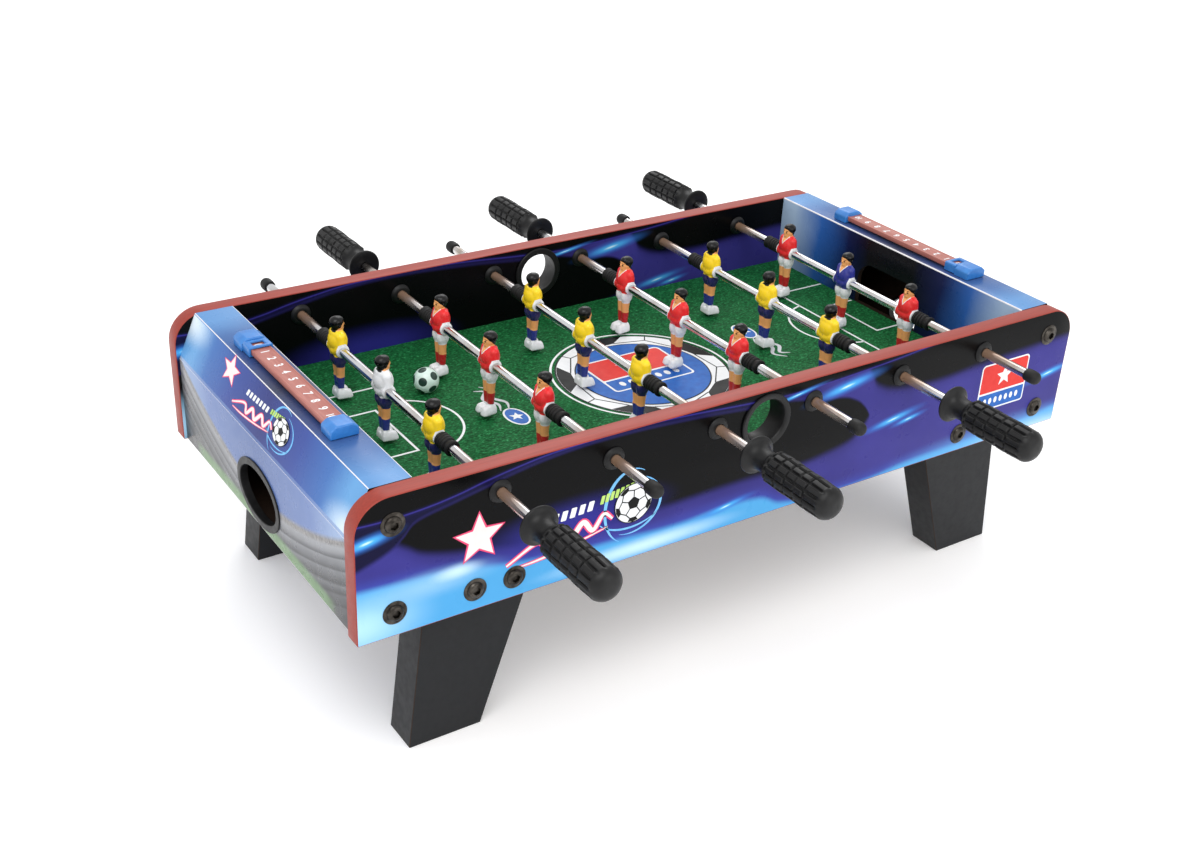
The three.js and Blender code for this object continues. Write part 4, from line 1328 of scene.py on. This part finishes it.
def man_body():
    """One man about his rod's axis, facing +X: rounded forms melted into one skin."""
    parts = bmesh.new()

    def ball(centre, radii, tilt=0.0):
        turn = Matrix.Rotation(math.radians(tilt), 4, "Y")
        place = Matrix.Translation(centre) @ turn @ Matrix.Diagonal((*radii, 1))
        bmesh.ops.create_icosphere(parts, subdivisions=4, radius=1, matrix=place)

    def limb(start, end, first, second):
        """A limb with round ends and its own radius at each end."""
        start, end = Vector(start), Vector(end)
        turn = (end - start).to_track_quat("Z", "Y").to_matrix().to_4x4()
        bmesh.ops.create_cone(parts, segments=32, radius1=first, radius2=second, depth=(end - start).length,
                              cap_ends=True, matrix=Matrix.Translation((start + end) / 2) @ turn)
        ball(start, (first,) * 3)
        ball(end, (second,) * 3)

    ball((0.2, 0, 20.6), (5.5, 5.0, 6.4))            # head
    ball((1.6, 0, 17.2), (3.9, 3.6, 3.2))            # jaw
    ball((-0.7, 0, 22.7), (5.9, 5.5, 4.9))           # hair
    ball((2.2, 0, 25.2), (3.4, 3.6, 1.9), 20)        # quiff
    ball((5.7, 0, 19.9), (1.1, 0.85, 1.3), -18)      # nose
    ball((4.9, 0, 17.1), (1.2, 1.6, 0.5))            # lips
    for y in (-1, 1):
        ball((0.1, 5.1 * y, 20.0), (1.1, 0.8, 1.7))  # ears
        limb((-0.2, 6.0 * y, 11.4), (-0.3, 6.7 * y, 4.6), 4.2, 4.2)
        limb((-0.3, 6.7 * y, 4.6), (0.6, 6.7 * y, -0.8), 4.2, 3.6)
        ball((0.1, 3.7 * y, -9.0), (5.7, 4.6, 7.6))  # shorts' legs
        limb((0.2, 3.3 * y, -13), (0.3, 3.0 * y, -24), 3.9, 3.2)
        limb((0.1, 3.0 * y, -25), (0.1, 2.7 * y, -36), 3.4, 2.7)
    limb((-0.2, 0, 11.5), (0.3, 0, 16.5), 4.4, 3.4)  # neck
    ball((-0.4, 0, 12.4), (5.6, 8.2, 4.9))           # shoulders
    ball((0.0, 0, 6.4), (7.7, 9.9, 9.8))             # chest
    ball((0.1, 0, -0.6), (7.2, 9.2, 6.4))            # hips
    limb((-0.2, 0, -16), (0, 0, -36), 3.0, 2.4)      # between the legs
    across = Matrix.Rotation(math.pi / 2, 4, "X")
    bmesh.ops.create_cone(parts, segments=48, radius1=5.7, radius2=5.7, depth=20.6, cap_ends=True, matrix=across)
    for y in (-1, 1):
        boot = bmesh.new()
        sole = [(-5.2, -3.4, 1.8), (8.6, -3.7, 2.4), (8.9, 3.7, 2.4), (-5.2, 3.4, 1.8)]
        levels = [(-44.5, 0.9), (-43.6, 0), (-39.6, 0.1), (-36.4, 1.2), (-35.4, 2.2)]
        rings = prism(boot, lambda inset: rounded(sole, inset, 5), levels, "z")
        for ring in rings[2:]:
            for corner in ring:
                corner.co.z -= max(0, corner.co.x - 1.0) * 0.42
        boot.transform(Matrix.Translation((0.9, 3.7 * y, 0)) @ Matrix.Rotation(math.radians(6 * y), 4, "Z"))
        joined(parts, boot)
    between = Matrix.Translation((1.2, 0, -41.4)) @ Matrix.Diagonal((11, 5, 5.6, 1))
    bmesh.ops.create_cube(parts, size=1, matrix=between)
    made = scratch(parts)
    modify(made, "REMESH", mode="VOXEL", voxel_size=0.62)
    modify(made, "SMOOTH", factor=0.5, iterations=3)
    body = worked(made)
    place = body.attributes.new("place", "FLOAT_VECTOR", "POINT")
    coordinates = [0.0] * (3 * len(body.vertices))
    body.vertices.foreach_get("co", coordinates)
    place.data.foreach_set("vector", coordinates)
    return body


class FOOSBALL_OT_men(bpy.types.Operator):
    """Builds the eighteen men and the pins that hold them"""

    bl_idname = "foosball.men"
    bl_label = "Men"

    def execute(self, context):
        men = context.scene.foosball_men
        white, red, navy = tuple(men.white), tuple(men.rear_shirt), tuple(men.navy)
        outfits = {
            "front_team": (tuple(men.front_shirt), navy, colour("#20328a"), False),
            "rear_team": (red, white, colour("#b81a22"), True),
            "front_keeper": (white, navy, colour("#20328a"), False),
            "rear_keeper": (colour("#232f8c"), white, colour("#b81a22"), True)}
        slots = {"front_team": "yellow_plastic", "rear_team": "red_plastic", "front_keeper": "yellow_plastic",
                 "rear_keeper": "red_plastic"}
        body = man_body()
        for number in RODS:
            pins = []
            side = handle_side(number)
            for place in PLACES:
                node = f"player_{number}_{place}"
                outfit = "front_team" if side < 0 else "rear_team"
                if place == "middle" and number in (1, 6):
                    outfit = outfit.replace("team", "keeper")
                low, high = span(node)
                spot = Matrix.Translation((rod_x(number), (low.y + high.y) / 2, ROD_Z))
                turn = half_turn(side > 0)
                mesh = body.copy()
                mesh.transform(spot @ turn)
                publish(f"painted_{node}", mesh, [painted_man(outfit, *outfits[outfit])],
                        f"rod_{number}", slots[outfit], node, sharp=180)
                back = spot @ turn @ Vector((-6.2, 0, 0.4))
                pins.append((back, (0, 0, math.pi / 2 if side < 0 else -math.pi / 2)))
            pin = bmesh.new()
            turned(pin, [(0, -0.4), (0.9, -0.4), (1, 0.2), (0.95, 0.6), (0.7, 0.9), (0.35, 1.0), (0, 1.0)], 20)
            repeated(f"man_pins_{number}", pin, pins, 2.4, 0.7, bronzed_steel(), f"rod_{number}", "chromed_steel")
        bpy.data.meshes.remove(body)
        return {"FINISHED"}


# ---- Ball and scorers ----------------------------------------------------------------------------------------


class FOOSBALL_OT_ball(bpy.types.Operator):
    """Builds the ball with its twelve dark pads"""

    bl_idname = "foosball.ball"
    bl_label = "Ball"

    def execute(self, context):
        golden = (1 + 5 ** 0.5) / 2
        pads = [Vector(p).normalized() for a in (-1, 1) for b in (-golden, golden)
                for p in ((0, a, b), (a, b, 0), (b, 0, a))]
        turn = Matrix.Rotation(math.radians(24), 3, "X") @ Matrix.Rotation(math.radians(38), 3, "Z")
        pads = [turn @ pad for pad in pads]
        ball = bmesh.new()
        bmesh.ops.create_icosphere(ball, subdivisions=6, radius=1)
        layer = ball.verts.layers.float.new("pad")
        radius = (span("ball")[1].z - span("ball")[0].z) / 2
        for corner in ball.verts:
            near = max(pad.dot(corner.co) for pad in pads)
            corner[layer] = near
            seam = max(0, 1 - abs(near - 0.941) / 0.009)
            corner.co *= radius - 0.12 * seam
        ball.transform(Matrix.Translation(middle("ball")))
        publish("moulded_ball", ball, [ball_plastic()], "ball", "ball_plastic", "ball", sharp=180)
        return {"FINISHED"}


class FOOSBALL_OT_scorers(bpy.types.Operator):
    """Builds the scorers: rails, numbers, end blocks with their screws, and sliders"""

    bl_idname = "foosball.scorers"
    bl_label = "Scorers"

    def execute(self, context):
        foot = BOARD_TOP + FIT
        for name, side in ENDS.items():
            x = middle(f"score_rail_{name}").x
            low, high = BOARD_TOP + 2.5, BOARD_TOP + 7
            rail = bmesh.new()
            wide = RAIL_HALF_WIDTH
            bar = [(x - wide, low, 0.6), (x + wide, low, 0.6), (x + wide, high - 0.1, 0.6), (x + 6.9, high, 0.3),
                   (x + 6.3, high - 0.5, 0.3), (x - 6.3, high - 0.5, 0.3), (x - 6.9, high, 0.3),
                   (x - wide, high - 0.1, 0.6)]
            prism(rail, lambda inset: rounded(bar, inset, 2), [(-RAIL_HALF_LENGTH, 0), (RAIL_HALF_LENGTH, 0)], "y")
            publish(f"moulded_score_rail_{name}", rail, [rail_plastic()], "table", "rail_plastic",
                    f"score_rail_{name}")
            slider = span(f"score_slider_{name}")
            reach = (slider[0].y + slider[1].y) / 2
            self.numbers(name, side, x, high - 0.5, reach)
            blocks = bmesh.new()
            for y in (-81.5, 81.5):
                arch = [(x - 11, foot, 0.6), (x + 11, foot, 0.6), (x + 11, foot + 6.5, 2.5),
                        (x + 6.4, foot + 10, 3.5),
                        (x - 6.4, foot + 10, 3.5), (x - 11, foot + 6.5, 2.5)]
                prism(blocks, lambda inset: rounded(arch, inset, 5), soft_levels(y - 8.5, y + 8.5, 1.2), "y")
            publish(f"score_blocks_{name}", blocks, [blue_abs()], "table", "blue_plastic")
            screw = bmesh.new()
            turned(screw, [(0, -0.5), (1, -0.5), (1, 0.4), (0.9, 0.8), (0.6, 1.0), (0, 1.0)], 24)
            spots = [((x, y, foot + 9.75), (math.pi / 2, 0, 0)) for y in (-82.5, 82.5)]
            repeated(f"score_screws_{name}", screw, spots, 5.2, 0.2, black_rubber(), "table", "black_plastic")
            self.slider(name, x, slider)
        return {"FINISHED"}

    def numbers(self, name, side, x, top, reach):
        """White digits from 0 to 10 along the rail, the 0 in the slider's window at rest."""
        digits = bmesh.new()
        for value in range(11):
            text = bpy.data.curves.new("digit", "FONT")
            text.body, text.size = str(value), 9.5 if value < 10 else 8
            text.align_x, text.align_y = "CENTER", "CENTER"
            text.extrude, text.offset = 0.04, 0.24
            holder = bpy.data.objects.new("digit", text)
            bpy.context.scene.collection.objects.link(holder)
            mesh = worked(holder)
            bpy.data.curves.remove(text)
            y = reach * (1 - value / 5)
            mesh.transform(Matrix.Translation((x, y, top + 0.06)) @ Matrix.Rotation(side * math.pi / 2, 4, "Z")
                           @ Matrix.Diagonal((0.85, 1, 1, 1)))
            digits.from_mesh(mesh)
            bpy.data.meshes.remove(mesh)
        bmesh.ops.remove_doubles(digits, verts=digits.verts, dist=0.001)
        publish(f"score_numbers_{name}", digits, [printed("white")], "table", "rail_plastic", sharp=60)

    def slider(self, name, x, corners):
        low, high = corners
        frame_outer = [(low.x, low.z, 0.7), (high.x, low.z, 0.7), (high.x, high.z, 1.6), (low.x, high.z, 1.6)]
        wall = SLIDER_WALL
        frame_inner = [(low.x + wall, low.z + wall, 0), (high.x - wall, low.z + wall, 0),
                       (high.x - wall, high.z - wall, 0), (low.x + wall, high.z - wall, 0)]
        sleeve, cutters = bmesh.new(), bmesh.new()
        prism(sleeve, lambda inset: rounded(frame_outer, inset, 4), soft_levels(low.y, high.y, 0.7), "y")
        prism(cutters, lambda inset: rounded(frame_inner, inset), [(low.y - 3, 0), (high.y + 3, 0)], "y")
        y = (low.y + high.y) / 2
        opening = [(x - 5, y - 3.6, 0.8), (x + 5, y - 3.6, 0.8), (x + 5, y + 3.6, 0.8), (x - 5, y + 3.6, 0.8)]
        prism(cutters, lambda inset: rounded(opening, inset, 3),
              [(high.z - 3, 0), (high.z - 0.6, 0), (high.z + 0.6, -1.2)], "z")
        publish(f"moulded_score_slider_{name}", carved(sleeve, cutters, [blue_abs()]), [blue_abs()],
                f"score_slider_{name}", "blue_plastic", f"score_slider_{name}")


# ---- Stage ---------------------------------------------------------------------------------------------------


class FOOSBALL_OT_stage(bpy.types.Operator):
    """Lays the floor and sets the lights and the camera"""

    bl_idname = "foosball.stage"
    bl_label = "Stage"

    def execute(self, context):
        scene = context.scene
        floor = bmesh.new()
        bmesh.ops.create_grid(floor, x_segments=1, y_segments=1, size=40)
        mesh = bpy.data.meshes.new("floor")
        floor.to_mesh(mesh)
        floor.free()
        mesh.materials.append(seamless_floor())
        plane = bpy.data.objects.new("floor", mesh)
        scene.collection.objects.link(plane)
        world = bpy.data.worlds.new("studio")
        world.use_nodes = True
        world.node_tree.nodes["Background"].inputs["Color"].default_value = colour("#ffffff")
        world.node_tree.nodes["Background"].inputs["Strength"].default_value = 0.95
        scene.world = world
        key = scene.foosball_stage.key
        lights = [("key_light", (-0.9, -0.9, 1.9), 1.4, key), ("rear_light", (0.9, 1.3, 1.6), 1.2, key * 0.6),
                  ("fill_light", (0.4, -1.9, 0.8), 1.3, key * 0.35)]
        for name, place, size, power in lights:
            light = bpy.data.lights.new(name, "AREA")
            light.energy, light.size = power, size
            lamp = bpy.data.objects.new(name, light)
            lamp.location = place
            lamp.rotation_euler = (Vector((0, 0, 0.15)) - lamp.location).to_track_quat("-Z", "Y").to_euler()
            scene.collection.objects.link(lamp)
        azimuth, elevation, roll = math.radians(-34.64), math.radians(28.37), math.radians(2.79)
        back = Vector((math.sin(azimuth) * math.cos(elevation), -math.cos(azimuth) * math.cos(elevation),
                       math.sin(elevation)))
        lens = bpy.data.cameras.new("camera")
        lens.lens, lens.sensor_width = 45.3, 36
        camera = bpy.data.objects.new("camera", lens)
        camera.location = Vector((-0.053, -0.0188, 0.134)) + back * 1.26
        camera.rotation_euler = ((-back).to_track_quat("-Z", "Y").to_matrix()
                                 @ Matrix.Rotation(roll, 3, "Z")).to_euler()
        scene.collection.objects.link(camera)
        scene.camera = camera
        scene.view_settings.view_transform = "Standard"
        return {"FINISHED"}


OPERATORS = (FOOSBALL_OT_side_boards, FOOSBALL_OT_end_boxes, FOOSBALL_OT_fittings, FOOSBALL_OT_legs,
             FOOSBALL_OT_pitch,
             FOOSBALL_OT_prints, FOOSBALL_OT_rods, FOOSBALL_OT_handles, FOOSBALL_OT_bumpers, FOOSBALL_OT_men,
             FOOSBALL_OT_ball, FOOSBALL_OT_scorers, FOOSBALL_OT_stage)
SETTINGS = {"cabinet": CabinetSettings, "pitch": PitchSettings, "rods": RodSettings, "men": MenSettings,
            "stage": StageSettings}


class FOOSBALL_PT_build(bpy.types.Panel):
    """Lists the settings and every builder"""

    bl_idname = "FOOSBALL_PT_build"
    bl_label = "Foosball table"
    bl_space_type = "VIEW_3D"
    bl_region_type = "UI"
    bl_category = "Foosball"

    def draw(self, context):
        for group, kind in SETTINGS.items():
            box = self.layout.box()
            for name in kind.__annotations__:
                box.prop(getattr(context.scene, f"foosball_{group}"), name)
        for operator in OPERATORS:
            self.layout.operator(operator.bl_idname)


CLASSES = (*SETTINGS.values(), *OPERATORS, FOOSBALL_PT_build)


def register():
    for made in CLASSES:
        bpy.utils.register_class(made)
    for group, kind in SETTINGS.items():
        setattr(bpy.types.Scene, f"foosball_{group}", bpy.props.PointerProperty(type=kind))


def unregister():
    for group in SETTINGS:
        delattr(bpy.types.Scene, f"foosball_{group}")
    for made in reversed(CLASSES):
        bpy.utils.unregister_class(made)


def main():
    register()
    for operator in OPERATORS:
        getattr(bpy.ops.foosball, operator.bl_idname.split(".")[1])()


if __name__ == "__main__":
    main()
